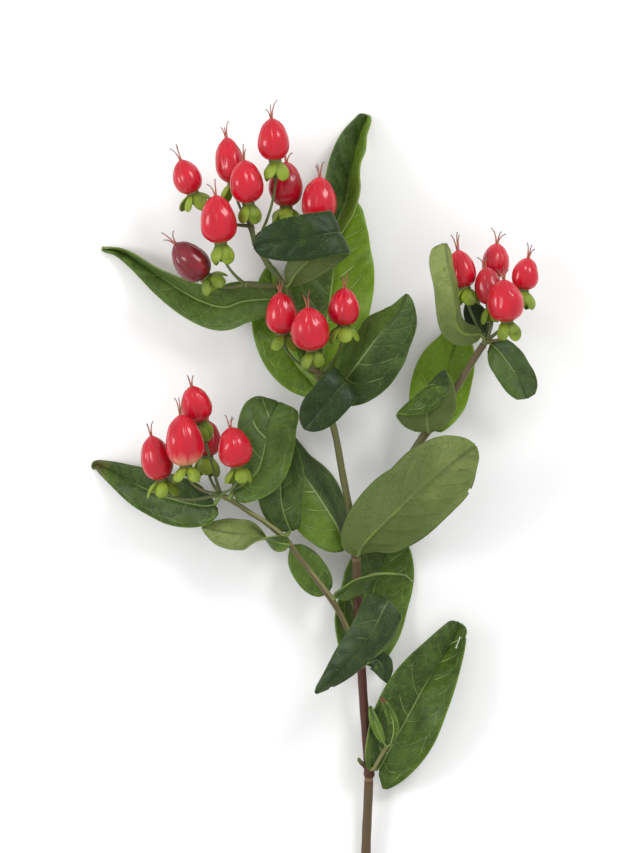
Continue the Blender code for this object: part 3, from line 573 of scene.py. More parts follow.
class Level:
    """A number that varies over a surface, wrapped so that an expression on it adds its Math nodes."""

    def __init__(self, finish, socket):
        self.finish = finish
        self.socket = socket

    def math(self, operation, *others):
        """The output of a Math node on this number and the others."""
        return self.finish.node("ShaderNodeMath", {"operation": operation}, (self, *others)).level()

    def turned_math(self, operation, other):
        """The same with the other number first."""
        return self.finish.node("ShaderNodeMath", {"operation": operation}, (other, self)).level()

    def __add__(self, other):
        return self.math("ADD", other)

    def __sub__(self, other):
        return self.math("SUBTRACT", other)

    def __rsub__(self, other):
        return self.turned_math("SUBTRACT", other)

    def __mul__(self, other):
        return self.math("MULTIPLY", other)

    def __truediv__(self, other):
        return self.math("DIVIDE", other)

    def __rtruediv__(self, other):
        return self.turned_math("DIVIDE", other)

    def __abs__(self):
        return self.math("ABSOLUTE")

    __radd__ = __add__
    __rmul__ = __mul__

    def rises(self, low, high):
        """0 below low and 1 above high, with a smooth rise between."""
        settings = {"interpolation_type": "SMOOTHSTEP"}
        return self.finish.node("ShaderNodeMapRange", settings, (self, low, high, 0.0, 1.0)).level()

    def falls(self, low, high):
        """1 below low and 0 above high."""
        settings = {"interpolation_type": "SMOOTHSTEP"}
        return self.finish.node("ShaderNodeMapRange", settings, (self, low, high, 1.0, 0.0)).level()


class Node:
    """A node that was just added, to take its outputs from."""

    def __init__(self, finish, node):
        self.finish = finish
        self.node = node

    def level(self, output=0):
        """One output as a number for expressions."""
        return Level(self.finish, self.node.outputs[output])

    def __getitem__(self, output):
        return self.node.outputs[output]


class Finish:
    """A material under construction."""

    def __init__(self, name):
        self.material = bpy.data.materials.new(name)
        self.material.use_nodes = True
        self.tree = self.material.node_tree
        self.shader = self.tree.nodes["Principled BSDF"]

    def node(self, kind, settings=None, values=()):
        """Adds a node: its settings first, then the values or links of its sockets, in order or by name."""
        node = self.tree.nodes.new(kind)
        for setting, value in (settings or {}).items():
            setattr(node, setting, value)
        pairs = values.items() if isinstance(values, dict) else enumerate(values)
        for key, value in pairs:
            self.feed(node.inputs[key], value)
        return Node(self, node)

    def feed(self, socket, value):
        """Links a socket or sets its value."""
        if isinstance(value, Level):
            value = value.socket
        if isinstance(value, bpy.types.NodeSocket):
            self.tree.links.new(value, socket)
        elif not isinstance(value, float | int) and len(socket.default_value) == 3:
            socket.default_value = tuple(value)[:3]
        else:
            socket.default_value = value

    def surface(self, **values):
        """Feeds the shader's own sockets, named with underscores for their blanks."""
        for name, value in values.items():
            self.feed(self.shader.inputs[name.replace("_", " ")], value)

    def blend(self, share, below, above):
        """A colour that runs from one to the other as share goes from 0 to 1."""
        node = self.node("ShaderNodeMix", {"data_type": "RGBA"})
        for key, value in ((0, share), (6, below), (7, above)):
            self.feed(node.node.inputs[key], value)
        return node[2]

    def noise(self, vector, scale, detail=3.0, roughness=0.5):
        """A cloudy pattern from 0 to 1."""
        values = {"Vector": vector, "Scale": scale, "Detail": detail, "Roughness": roughness}
        return self.node("ShaderNodeTexNoise", {}, values).level()

    def bump(self, height, depth, strength=1.0):
        """A normal raised by the height, with depth in millimetres."""
        values = {"Height": height, "Distance": depth * MM, "Strength": strength}
        return self.node("ShaderNodeBump", {}, values)["Normal"]

    def place(self):
        """Object coordinates."""
        return self.node("ShaderNodeTexCoord")["Object"]

    def mapped(self):
        """The place across and along a surface, each from 0 to 1."""
        return self.node("ShaderNodeSeparateXYZ", {}, (self.node("ShaderNodeUVMap", {"uv_map": "UVMap"})[0],))

    def combine(self, *numbers):
        """Three numbers as one vector."""
        return self.node("ShaderNodeCombineXYZ", {}, numbers)[0]


def pattern_of_leaf(finish):
    """The places and vein masks that both sides of a leaf are painted from."""
    blade = finish.mapped()
    real = finish.node("ShaderNodeUVMap", {"uv_map": "Centimetres"})[0]
    size = finish.node("ShaderNodeSeparateXYZ", {}, (real,))
    mark = finish.node("ShaderNodeAttribute", {"attribute_name": "leaf_mark"})
    shares = finish.node("ShaderNodeSeparateColor", {}, (mark["Color"],))
    across = blade.level(0) * 2.0 - 1.0
    side = across.math("SIGN")
    reach = abs(across)
    share = blade.level(1)
    off_midrib = abs(size.level(0)) * 10.0
    along = size.level(1) * 10.0
    seed = mark.level("Alpha")
    lean = share * VEIN_LEAN_HIGH + VEIN_LEAN_LOW
    start = along - off_midrib * lean - off_midrib * off_midrib * VEIN_ARCH
    phase = start / VEIN_SPACING + (start * 0.8 + side * 1.9 + seed).math("SINE") * VEIN_DRIFT
    phase = phase + side * VEIN_SIDE_STEP + seed
    to_vein = abs((phase + 0.5).math("FRACT") - 0.5) * VEIN_SPACING
    half_here = off_midrib / reach.math("MAXIMUM", 0.04)
    loop = (phase * (2 * math.pi)).math("COSINE") * -LOOP_SWING + LOOP_MIDDLE
    to_loop = abs(reach - loop) * half_here
    inner = reach.falls(0.66, 0.82)
    warp = finish.noise(real, 2.2, 2.0)
    shifted = finish.node("ShaderNodeVectorMath", {"operation": "ADD"}, (real, warp.socket))[0]
    cells = finish.node(
        "ShaderNodeTexVoronoi",
        {"feature": "DISTANCE_TO_EDGE", "voronoi_dimensions": "2D"},
        {"Vector": shifted, "Scale": 4.2},
    ).level()
    fine = finish.node(
        "ShaderNodeTexVoronoi",
        {"feature": "DISTANCE_TO_EDGE", "voronoi_dimensions": "2D"},
        {"Vector": shifted, "Scale": 11.0},
    ).level()
    dots = finish.node("ShaderNodeTexVoronoi", {"voronoi_dimensions": "2D"}, {"Vector": real, "Scale": 7.0})
    return {
        "real": real,
        "reach": reach,
        "share": share,
        "off_midrib": off_midrib,
        "fresh": shares.level(0),
        "grey": shares.level(1),
        "wither": shares.level(2),
        "to_vein": to_vein,
        "lateral": to_vein.falls(0.03, 0.15) * inner,
        "loop": to_loop.falls(0.02, 0.12) * 0.6,
        "net": cells.falls(0.015, 0.05),
        "fine": fine.falls(0.02, 0.08),
        "specks": dots.level("Distance").falls(0.05, 0.11) * warp.rises(0.5, 0.6),
    }


def leaf_top_finish(look):
    """The satin upper side: green mottled with yellow-green that is partly painted backlight, a painted
    grey-blue sheen, painted shade along the veins and in the midrib's outer groove, thin pale veins and brown
    nicks at the edge.
    """
    finish = Finish("leaf upper side")
    leaf = pattern_of_leaf(finish)
    cloud = finish.noise(leaf["real"], 0.9, 3.0)
    mottle = finish.noise(leaf["real"], 3.2, 3.0)
    # This share is partly the leaf's own colour and partly painted light: a backlit leaf painted
    # yellow-green, a lit half lighter than a shaded one
    fresh_and_lit_level = leaf["fresh"] + (cloud - 0.5) * 0.8 + (mottle - 0.5) * 0.45
    fresh_and_lit_level = fresh_and_lit_level + leaf["reach"].rises(0.93, 1.0) * 0.4
    colour = finish.blend(fresh_and_lit_level.rises(-0.1, 1.4), look.dark, look.fresh)
    # Painted grey-blue sheen, as much as the leaf's grey share
    colour = finish.blend(leaf["grey"] * cloud.rises(0.2, 0.8), colour, look.grey_sheen)
    side_veins = leaf["lateral"].math("MAXIMUM", leaf["loop"])
    clear = leaf["fresh"].rises(-0.1, 0.5) * (1.0 - leaf["grey"] * 0.65)
    shade = leaf["to_vein"].falls(0.1, 1.1) * (0.25 - clear * 0.15)
    colour = finish.blend(shade, colour, look.dark)
    colour = finish.blend(leaf["net"] * clear * 0.2, colour, look.vein)
    patchy = finish.noise(leaf["real"], 1.6, 1.0).rises(0.35, 0.6)
    colour = finish.blend(side_veins * patchy * clear * 0.9, colour, look.vein)
    rib = leaf["off_midrib"].falls(0.1, 0.3) * leaf["share"].falls(0.4, 0.75)
    colour = finish.blend(rib * (clear * 0.75 + 0.08), colour, look.vein)
    colour = finish.blend(leaf["specks"] * 0.4, colour, look.vein)
    # Painted shade: the midrib's groove darkened on the outer half of the leaf
    crease = leaf["off_midrib"].falls(0.1, 0.6) * leaf["share"].rises(0.5, 0.8)
    colour = finish.blend(crease * 0.55, colour, look.dark)
    tip = leaf["wither"] * (leaf["share"] + (mottle - 0.5) * 0.2).rises(0.84, 0.93)
    nicks = (leaf["reach"] + mottle * 0.12).rises(1.06, 1.09)
    colour = finish.blend(tip.math("MAXIMUM", nicks), colour, look.brown)
    height = (1.0 - side_veins) * 0.7 + (1.0 - leaf["net"]) * 0.3 - leaf["fine"] * 0.1
    rough = look.roughness + (cloud - 0.5) * 0.14 + leaf["fine"] * 0.05
    finish.surface(Base_Color=colour, Roughness=rough, Normal=finish.bump(height, 0.07))
    finish.surface(Specular_IOR_Level=0.22)
    return finish.material


def leaf_under_finish(look):
    """The matt, paler underside, with a dark net of veins and a raised midrib."""
    finish = Finish("leaf underside")
    leaf = pattern_of_leaf(finish)
    cloud = finish.noise(leaf["real"], 0.8, 3.0)
    # The same share on the underside: its own paler green together with painted light
    fresh_and_lit_level = leaf["fresh"] + (cloud - 0.5) * 1.2 + (leaf["share"] - 0.5) * 0.9
    colour = finish.blend(fresh_and_lit_level.rises(0.0, 1.0), look.under, look.under_fresh_and_lit)
    side_veins = leaf["lateral"].math("MAXIMUM", leaf["loop"])
    patchy = finish.noise(leaf["real"], 2.4, 1.0).rises(0.35, 0.65)
    colour = finish.blend(leaf["net"] * patchy * 0.6 + leaf["fine"] * 0.08, colour, look.under_vein)
    colour = finish.blend(side_veins * patchy * 0.5, colour, look.under_vein)
    rib = leaf["off_midrib"].falls(0.2, 0.5)
    colour = finish.blend(rib * leaf["share"].falls(0.3, 0.6) * 0.45, colour, look.rim)
    colour = finish.blend(rib * leaf["share"].rises(0.4, 0.65) * 0.5, colour, look.under_vein)
    colour = finish.blend(leaf["wither"] * leaf["share"].rises(0.84, 0.93), colour, look.brown)
    height = side_veins * 0.8 + leaf["net"] * 0.4 + leaf["fine"] * 0.15
    finish.surface(Base_Color=colour, Roughness=0.5 + (cloud - 0.5) * 0.1, Normal=finish.bump(height, 0.09))
    finish.surface(Specular_IOR_Level=0.15)
    return finish.material


def leaf_rim_finish(look):
    """The thin cut edge of a blade and its midrib, yellow-green."""
    finish = Finish("leaf rim and midrib")
    cloud = finish.noise(finish.place(), 220.0, 2.0)
    colour = finish.blend(cloud.rises(0.35, 0.75), look.rim, look.under)
    finish.surface(Base_Color=colour, Roughness=0.5)
    return finish.material


def berry_finish(look):
    """Waxy red skin, mottled, darker in overripe berries and pale at the foot."""
    finish = Finish("berry skin")
    sphere = finish.mapped()
    mark = finish.node("ShaderNodeAttribute", {"attribute_name": "berry_mark"})
    shares = finish.node("ShaderNodeSeparateColor", {}, (mark["Color"],))
    height = sphere.level(1)
    place = finish.place()
    cloud = finish.noise(place, 160.0, 3.0)
    streaks = finish.noise(finish.combine(sphere.level(0) * 26.0, height * 2.0, shares.level(2)), 1.0, 2.0)
    darkness = shares.level(0) + (cloud - 0.5) * 0.75 + (streaks - 0.5) * 0.55
    colour = finish.blend(darkness.rises(-0.25, 1.15), look.red, look.maroon)
    reach = shares.level(1)
    foot = (height / (reach + 0.015) + (streaks - 0.5) * 0.8).falls(0.35, 1.25)
    colour = finish.blend(foot * 0.75, colour, look.pale)
    colour = finish.blend(height.falls(0.0, 0.022) * 0.7, colour, look.thread_tip)
    colour = finish.blend((height + (streaks - 0.5) * 0.05).rises(0.965, 0.995) * 0.7, colour, look.thread)
    pores = finish.noise(place, 2600.0, 1.0)
    finish.surface(Base_Color=colour, Roughness=0.34 + (cloud - 0.5) * 0.12, Coat_Weight=look.gloss)
    finish.surface(Normal=finish.bump(pores * 0.25 + streaks * height.rises(0.3, 0.9), 0.16, 0.5))
    finish.surface(Coat_Roughness=0.15, Specular_IOR_Level=0.2)
    return finish.material


def thread_finish(look):
    """The dry threads on a berry's tip, brown-red at the foot and nearly black at the end."""
    finish = Finish("berry threads")
    tube = finish.mapped()
    cloud = finish.noise(finish.place(), 900.0, 2.0)
    share = tube.level(1) + (cloud - 0.5) * 0.5
    colour = finish.blend(share.rises(0.45, 0.95), look.thread, look.thread_tip)
    finish.surface(Base_Color=colour, Roughness=0.55)
    return finish.material


def sepal_finish(look):
    """Yellow-green sepals, mottled, with fine lengthwise veins, and a foot darkened with painted shade by the
    cup.
    """
    finish = Finish("sepal")
    blade = finish.mapped()
    across = blade.level(0) - 0.5
    share = blade.level(1)
    place = finish.place()
    cloud = finish.noise(place, 260.0, 3.0)
    veins = (across * 44.0 + (cloud - 0.5) * 2.0).math("COSINE").rises(0.72, 1.0) * share.rises(0.02, 0.2)
    tone = finish.noise(place, 90.0, 1.0).rises(0.4, 0.65)
    # The veins, mottle and tone patches are the sepal's own colour; the darker foot by the cup is painted
    # shade under the berry
    shade = veins * 0.2 + share.falls(0.0, 0.45) * 0.55 + cloud.rises(0.45, 0.75) * 0.4 + tone * 0.45
    colour = finish.blend(shade, look.sepal, look.sepal_dark)
    finish.surface(Base_Color=colour, Roughness=0.45 + (cloud - 0.5) * 0.15)
    finish.surface(Normal=finish.bump(1.0 - veins, 0.05), Specular_IOR_Level=0.25)
    return finish.material


def stalk_finish(look):
    """Olive-green stalks with brownish patches."""
    finish = Finish("berry stalk")
    place = finish.place()
    cloud = finish.noise(place, 130.0, 4.0)
    grain = finish.noise(place, 700.0, 2.0)
    colour = finish.blend(cloud.rises(0.42, 0.72) * 0.7 + (grain - 0.5) * 0.3, look.stalk, look.blush)
    finish.surface(Base_Color=colour, Roughness=0.5, Normal=finish.bump(grain, 0.08, 0.6))
    return finish.material


def bark_finish(look, name, lower, upper, turn, rings=()):
    """Smooth thin bark that changes colour along the stem, with a paler flank, streaks and pale rings."""
    finish = Finish(name)
    tube = finish.mapped()
    around = tube.level(0)
    share = tube.level(1)
    place = finish.place()
    streaks = finish.noise(finish.combine(around * 9.0, share * 14.0, 0.0), 2.0, 4.0, 0.6)
    cloud = finish.noise(place, 60.0, 3.0)
    grain = finish.noise(place, 900.0, 2.0)
    change = (share + (cloud - 0.5) * 0.16 + (streaks - 0.5) * 0.12).rises(turn - 0.1, turn + 0.1)
    colour = finish.blend(change, lower, upper)
    flank = ((around + 0.03) * (2 * math.pi)).math("COSINE") + (streaks - 0.5) * 0.5
    colour = finish.blend(flank.rises(0.55, 0.72) * cloud.rises(0.3, 0.5) * 0.8, colour, look.flank)
    colour = finish.blend(streaks.rises(0.5, 0.75) * 0.5, colour, look.tan)
    for ring in rings:
        colour = finish.blend(abs(share - ring).falls(0.001, 0.004) * 0.55, colour, look.ring)
    if rings:
        colour = finish.blend(share.falls(rings[0] - 0.01, rings[0]) * 0.6, colour, look.tan)
    flecks = finish.noise(finish.combine(around * 30.0, share * 420.0, 0.0), 0.6, 1.0)
    lenticels = flecks.rises(0.68, 0.78)
    colour = finish.blend(lenticels * 0.3, colour, look.ring)
    height = streaks * 0.6 + grain * 0.3 + lenticels * 0.4
    finish.surface(Base_Color=colour, Roughness=0.46 + (cloud - 0.5) * 0.12)
    finish.surface(Normal=finish.bump(height, 0.12, 0.8), Specular_IOR_Level=0.25)
    return finish.material


def wood_finish(look):
    """The pale cut end, flecked with darker tan."""
    finish = Finish("cut wood")
    grain = finish.noise(finish.place(), 2400.0, 2.0)
    finish.surface(Base_Color=finish.blend(grain.rises(0.3, 0.8), look.wood, look.tan), Roughness=0.75)
    return finish.material


def floor_finish(look):
    """A plain pale floor."""
    finish = Finish("floor")
    finish.surface(Base_Color=tuple(look.floor), Roughness=0.9, Specular_IOR_Level=0.1)
    return finish.material


def add_primitive(operator, **settings):
    """Adds a primitive with nothing else selected."""
    if bpy.context.object and bpy.context.object.mode != "OBJECT":
        bpy.ops.object.mode_set(mode="OBJECT")
    bpy.ops.object.select_all(action="DESELECT")
    operator(**settings)
    return bpy.context.object


def copy_of(obj):
    """A copy with its own mesh."""
    twin = obj.copy()
    twin.data = obj.data.copy()
    bpy.context.scene.collection.objects.link(twin)
    return twin


def join_pieces(name, pieces):
    """Joins the pieces into the first and names it."""
    bpy.ops.object.select_all(action="DESELECT")
    for piece in pieces:
        piece.select_set(True)
    bpy.context.view_layer.objects.active = pieces[0]
    if len(pieces) > 1:
        bpy.ops.object.join()
    joined = bpy.context.object
    joined.name = name
    joined.data.name = name
    return joined


def apply_modifiers(obj):
    """Applies every modifier in order."""
    bpy.ops.object.select_all(action="DESELECT")
    obj.select_set(True)
    bpy.context.view_layer.objects.active = obj
    for modifier in list(obj.modifiers):
        bpy.ops.object.modifier_apply(modifier=modifier.name)


def hand_over(piece, node):
    """Shades the piece smooth and puts it in the place of its CAD node."""
    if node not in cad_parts:
        raise RuntimeError(f"the frame has no node named {node}")
    piece.data.shade_smooth()
    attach(piece, BODY)
    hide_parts(node)


def smooth_points(points, steps):
    """Evenly spaced points along a smooth curve through the given ones, each of any number of values."""
    knots = [Vector(p) for p in points]
    knots = [2 * knots[0] - knots[1]] + knots + [2 * knots[-1] - knots[-2]]
    dense = []
    per_span = 24
    for i in range(1, len(knots) - 2):
        before, start, end, after = knots[i - 1 : i + 3]
        for k in range(per_span):
            t = k / per_span
            linear = 2 * start + (end - before) * t
            square = (2 * before - 5 * start + 4 * end - after) * t**2
            cube = (3 * start - before - 3 * end + after) * t**3
            dense.append(0.5 * (linear + square + cube))
    dense.append(knots[-2])
    reach = [0.0]
    for a, b in zip(dense, dense[1:]):
        reach.append(reach[-1] + (b - a).length)
    even, j = [], 0
    for k in range(steps + 1):
        want = reach[-1] * k / steps
        while j < len(dense) - 2 and reach[j + 1] < want:
            j += 1
        share = (want - reach[j]) / max(reach[j + 1] - reach[j], 1e-9)
        even.append(dense[j].lerp(dense[j + 1], share))
    return even


def round_ends(path):
    """The same path with a smaller ring beyond each end, which rounds its caps."""
    first, last = path[0], path[-1]
    back = (first[0] - path[1][0]).normalized() * first[1]
    onward = (last[0] - path[-2][0]).normalized() * last[1]
    before = [(first[0] + back * 0.45, first[1] * 0.45), (first[0] + back * 0.3, first[1] * 0.8)]
    after = [(last[0] + onward * 0.3, last[1] * 0.8), (last[0] + onward * 0.45, last[1] * 0.45)]
    return before + path + after


def add_tube(path, sides, relief=None):
    """A closed tube along a path of points and radii, from a sphere whose rings are moved onto it.

    relief gives the radius at a share along and an angle around, as a multiple of the path's radius.
    """
    rings = len(path)
    obj = add_primitive(bpy.ops.mesh.primitive_uv_sphere_add, segments=sides, ring_count=rings + 1, radius=1)
    forward = [(path[min(i + 1, rings - 1)][0] - path[max(i - 1, 0)][0]).normalized() for i in range(rings)]
    side = forward[0].orthogonal().normalized()
    frames = []
    for ahead in forward:
        side = (side - side.dot(ahead) * ahead).normalized()
        frames.append((side, ahead.cross(side)))
    for vert in obj.data.vertices:
        ring = rings + 1 - round(math.acos(max(-1.0, min(1.0, vert.co.z))) / math.pi * (rings + 1))
        pole = ring < 1 or ring > rings
        i = max(0, min(rings - 1, ring - 1))
        point, radius = path[i]
        if pole:
            vert.co = point * MM
            continue
        around = math.atan2(vert.co.y, vert.co.x)
        if relief:
            radius = radius * relief(i / (rings - 1), around)
        vert.co = (point + (frames[i][0] * math.cos(around) + frames[i][1] * math.sin(around)) * radius) * MM
    return obj


def between(three, u):
    """A value that runs evenly from the first to the second by the middle, and on to the third."""
    if u < 0.5:
        return three[0] + (three[1] - three[0]) * u * 2
    return three[1] + (three[2] - three[1]) * (u * 2 - 1)


def leaf_frames(leaf):
    """Places along the midrib with their forward, side and upward directions, twisted only by the roll."""
    points = smooth_points(leaf.midrib, FRAME_STEPS)
    upward = Vector((0, 0, leaf.face))
    frames = []
    for i, point in enumerate(points):
        forward = (points[min(i + 1, FRAME_STEPS)] - points[max(i - 1, 0)]).normalized()
        upward = (upward - upward.dot(forward) * forward).normalized()
        roll = Matrix.Rotation(math.radians(between(leaf.roll, i / FRAME_STEPS)), 3, forward)
        turned = roll @ upward
        side = leaf.face * forward.cross(turned)
        frames.append((point, forward, side, turned))
    return frames


def leaf_share(leaf, u):
    """The half-width at u along the leaf, as a share of the widest, with a round base and a rounded tip."""
    if u < leaf.widest:
        return BASE_SHARE + (1 - BASE_SHARE) * (1 - (1 - u / leaf.widest) ** 2) ** BASE_ROUND
    beyond = (u - leaf.widest) / (1 - leaf.widest)
    share = leaf.tip + (1 - leaf.tip) * (1 - beyond**leaf.blunt)
    if u > 1 - TIP_ROUND:
        share *= max(math.sqrt(max(1 - ((u - 1 + TIP_ROUND) / TIP_ROUND) ** 2, 0.0)), 0.15)
    return share


def fold_over(point, crease):
    """Rolls what lies beyond a diagonal crease up and back over the leaf."""
    on_line, (run_x, run_y) = Vector(crease[0]), crease[1]
    run = Vector((run_x, run_y, 0)).normalized()
    away = Vector((-run.y, run.x, 0))
    radius, turn = 1.7, math.radians(172)
    offset = point - on_line
    beyond, height = offset.dot(away), offset.z
    if beyond <= 0:
        return point
    angle = min(beyond / radius, turn)
    rest = max(beyond - radius * turn, 0.0)
    across = radius * math.sin(angle) + rest * math.cos(angle) - height * math.sin(angle)
    up = radius * (1 - math.cos(angle)) + rest * math.sin(angle) + height * math.cos(angle)
    return on_line + run * offset.dot(run) + away * across + Vector((0, 0, up))


class Blade:
    """The middle surface of a leaf, with the swell between its veins and the wave of its edge."""

    def __init__(self, leaf, index, look):
        self.leaf = leaf
        self.look = look
        self.frames = leaf_frames(leaf)
        self.length = sum((b[0] - a[0]).length for a, b in zip(self.frames, self.frames[1:]))
        draw = random.Random(index + 11)
        self.seed = draw.uniform(0, 1)
        self.waves = [(draw.uniform(1.5, 4.5), draw.uniform(0, 6.28), draw.uniform(-1, 1)) for _ in range(3)]

    def frame_at(self, along):
        """The midrib's place and directions at a distance from its start."""
        place = min(max(along / self.length, 0.0), 1.0) * FRAME_STEPS
        i = min(int(place), FRAME_STEPS - 1)
        point, forward, side, upward = (
            a.lerp(b, place - i) for a, b in zip(self.frames[i], self.frames[i + 1])
        )
        if along < 0:
            point = point + forward.normalized() * along
        return point, side.normalized(), upward.normalized()

    def swell(self, u, v, off_midrib):
        """How far the surface stands above its smooth form, in millimetres."""
        side = math.copysign(1, v)
        along = u * self.length
        lean = VEIN_LEAN_LOW + VEIN_LEAN_HIGH * u
        start = along - off_midrib * lean - off_midrib**2 * VEIN_ARCH
        phase = start / VEIN_SPACING + VEIN_DRIFT * math.sin(start * 0.8 + side * 1.9 + self.seed)
        phase += side * VEIN_SIDE_STEP + self.seed
        to_vein = abs((phase + 0.5) % 1.0 - 0.5) * 2
        size = min(self.leaf.half_width / LARGE_HALF_WIDTH, 1.0)
        inside = math.sin(math.pi * min(abs(v) / 0.9, 1.0)) ** 0.7 * size
        quilt = self.look.quilting / MM * (math.sin(to_vein * math.pi / 2) ** 0.8 - 0.5) * inside
        groove = self.look.groove / MM * math.exp(-((off_midrib / 0.8) ** 2)) * size
        wave = 0.0
        for count, start_angle, tilt in self.waves:
            wave += math.sin(count * 2 * math.pi * u + start_angle + tilt * side * 2) / 3
        edge = self.look.waviness / MM * wave * abs(v) ** 1.5 * size
        recurve = 0.3 * max(abs(v) - 0.86, 0.0) / 0.14
        return quilt - groove + edge - recurve

    def point(self, u, v):
        """A point of the surface, with its real place across and along the blade."""
        leaf = self.leaf
        reach = abs(v) * leaf.half_width * leaf_share(leaf, u)
        lobe = math.sin(math.pi / 2 * min(reach / leaf.half_width / LOBE_REACH, 1.0))
        auricle = leaf.auricle[0] if v < 0 else leaf.auricle[1]
        along = u * self.length - auricle * lobe * (1 - u) ** 5
        point, side, upward = self.frame_at(along)
        lift = math.radians(between(leaf.left if v < 0 else leaf.right, u))
        sideways = side * math.copysign(reach * math.cos(lift), v)
        over = upward * math.cos(lift) - side * math.copysign(math.sin(lift), v)
        place = point + sideways + upward * reach * math.sin(lift) + over * self.swell(u, v, reach)
        if leaf.crease:
            place = fold_over(place, leaf.crease)
        return place, math.copysign(reach, v), u * self.length


def is_torn(leaf, u, v):
    """Whether the blade is gone at a place."""
    for v_middle, u_middle, v_half, u_half in leaf.tears:
        if ((v - v_middle) / v_half) ** 2 + ((u - u_middle) / u_half) ** 2 < 1:
            return True
    return False


def tear_blade(obj, leaf):
    """Deletes the blade's faces where it is torn."""
    bpy.ops.object.mode_set(mode="EDIT")
    bpy.ops.mesh.select_mode(type="FACE")
    bpy.ops.mesh.select_all(action="DESELECT")
    bpy.ops.object.mode_set(mode="OBJECT")
    mapped = obj.data.uv_layers["UVMap"].data
    for face in obj.data.polygons:
        middle = sum((mapped[i].uv for i in face.loop_indices), Vector((0, 0))) / face.loop_total
        face.select = is_torn(leaf, middle.y, middle.x * 2 - 1)
    bpy.ops.object.mode_set(mode="EDIT")
    bpy.ops.mesh.delete(type="FACE")
    bpy.ops.object.mode_set(mode="OBJECT")


def add_blade(leaf, blade, look, finishes):
    """The blade: a grid laid on its surface, with its tears, given its wall and painted sides."""
    columns = 14 if leaf.half_width < 3 else 22 if leaf.half_width < 6 else 36
    rows = max(24, round(blade.length / 0.72))
    obj = add_primitive(
        bpy.ops.mesh.primitive_grid_add, x_subdivisions=columns, y_subdivisions=rows, size=2, calc_uvs=True
    )
    mesh = obj.data
    real = []
    for vert in mesh.vertices:
        u, v = (vert.co.y + 1) / 2, vert.co.x
        place, across, along = blade.point(u, v)
        place.z = max(place.z, look.thickness / MM / 2)
        vert.co = place * MM
        real.append((across / 10, along / 10))
    mapped = mesh.uv_layers.new(name="Centimetres").data
    mark = mesh.attributes.new("leaf_mark", "FLOAT_COLOR", "POINT").data
    for loop in mesh.loops:
        mapped[loop.index].uv = real[loop.vertex_index]
    # Each half gets its yellow-green share: its own colour together with painted light, lit and backlit
    # halves painted lighter
    for vert, (across, _) in zip(mesh.vertices, real):
        toward = 0.5 + 0.5 * math.tanh(across * 8)
        fresh = leaf.fresh[0] + (leaf.fresh[1] - leaf.fresh[0]) * toward
        mark[vert.index].color = (fresh, leaf.grey, leaf.wither, blade.seed)
    mesh.uv_layers["UVMap"].active = True
    tear_blade(obj, leaf)
    top, under, rim = finishes
    for finish in (top, under, rim) if leaf.face == 1 else (under, top, rim):
        mesh.materials.append(finish)
    wall = obj.modifiers.new("wall", "SOLIDIFY")
    wall.thickness = look.thickness
    wall.offset = 0.0
    wall.use_even_offset = False
    wall.material_offset = 1
    wall.material_offset_rim = 2
    apply_modifiers(obj)
    for vert in obj.data.vertices:
        vert.co.z = max(vert.co.z, 0.0)
    return obj


def stem_lines():
    """Points on every stem, branch and stalk that a leaf can sit on."""
    places = []
    for tube in (MAIN_STEM, RIGHT_BRANCH, LEFT_BRANCH, SHOOT_STALK):
        places += [Vector(p[:3]) for p in smooth_points(tube.points, 200)]
    for cluster in CLUSTERS:
        places += [Vector(p) for p in cluster.joints.values()]
    return places


def nearest(places, point):
    """The one of the places that is nearest to the point."""
    return min(places, key=lambda place: (place - point).length)


def add_midrib(leaf, blade, look, finish, places):
    """The leaf's short foot on its stem, which runs on as a raised rib under the blade."""
    size = min(1.0, 0.35 + leaf.half_width / 14)
    radius = look.midrib / MM * size
    start = blade.frame_at(0.0)[0]
    foot = nearest(places, start)
    path = [(foot.lerp(start, share), radius * (1.25 - 0.4 * share)) for share in (0.0, 0.25, 0.5, 0.75)]
    steps = 40
    for step in range(steps):
        u = MIDRIB_END * step / (steps - 1)
        point, _, upward = blade.frame_at(u * blade.length)
        thick = radius * (0.62 - 0.47 * (u / MIDRIB_END) ** 0.45)
        if leaf.crease:
            point = fold_over(point, leaf.crease)
            upward = Vector((0, 0, -1))
        hollow = look.groove / MM * min(leaf.half_width / LARGE_HALF_WIDTH, 1.0)
        sunk = hollow + thick * 0.15 * min(u * 12, 1.0)
        point = point - upward * sunk
        point.z = max(point.z, thick)
        path.append((point, thick))
    rib = add_tube(path, 10)
    rib.data.materials.append(finish)
    return rib


class HYPERICUM_OT_leaves(bpy.types.Operator):
    """Models every leaf with its veins, its wall and its midrib"""

    bl_idname = "hypericum.add_leaves"
    bl_label = "Add leaves"

    def execute(self, context):
        look = context.scene.hypericum_leaves
        finishes = (leaf_top_finish(look), leaf_under_finish(look), leaf_rim_finish(look))
        places = stem_lines()
        for index, leaf in enumerate(LEAVES):
            blade = Blade(leaf, index, look)
            parts = [add_blade(leaf, blade, look, finishes)]
            parts.append(add_midrib(leaf, blade, look, finishes[2], places))
            hand_over(join_pieces(leaf.name.replace("leaf", "blade"), parts), leaf.name)
        return {"FINISHED"}


def berry_axis(berry):
    """The direction from a berry's calyx to its styles."""
    lean, rise = math.radians(berry.lean), math.radians(berry.rise)
    return Vector((math.sin(lean) * math.cos(rise), math.cos(lean) * math.cos(rise), math.sin(rise)))


def berry_turn(berry):
    """Turns a berry modelled upright along +Z into its own direction."""
    return Vector((0, 0, 1)).rotation_difference(berry_axis(berry)).to_matrix().to_4x4()


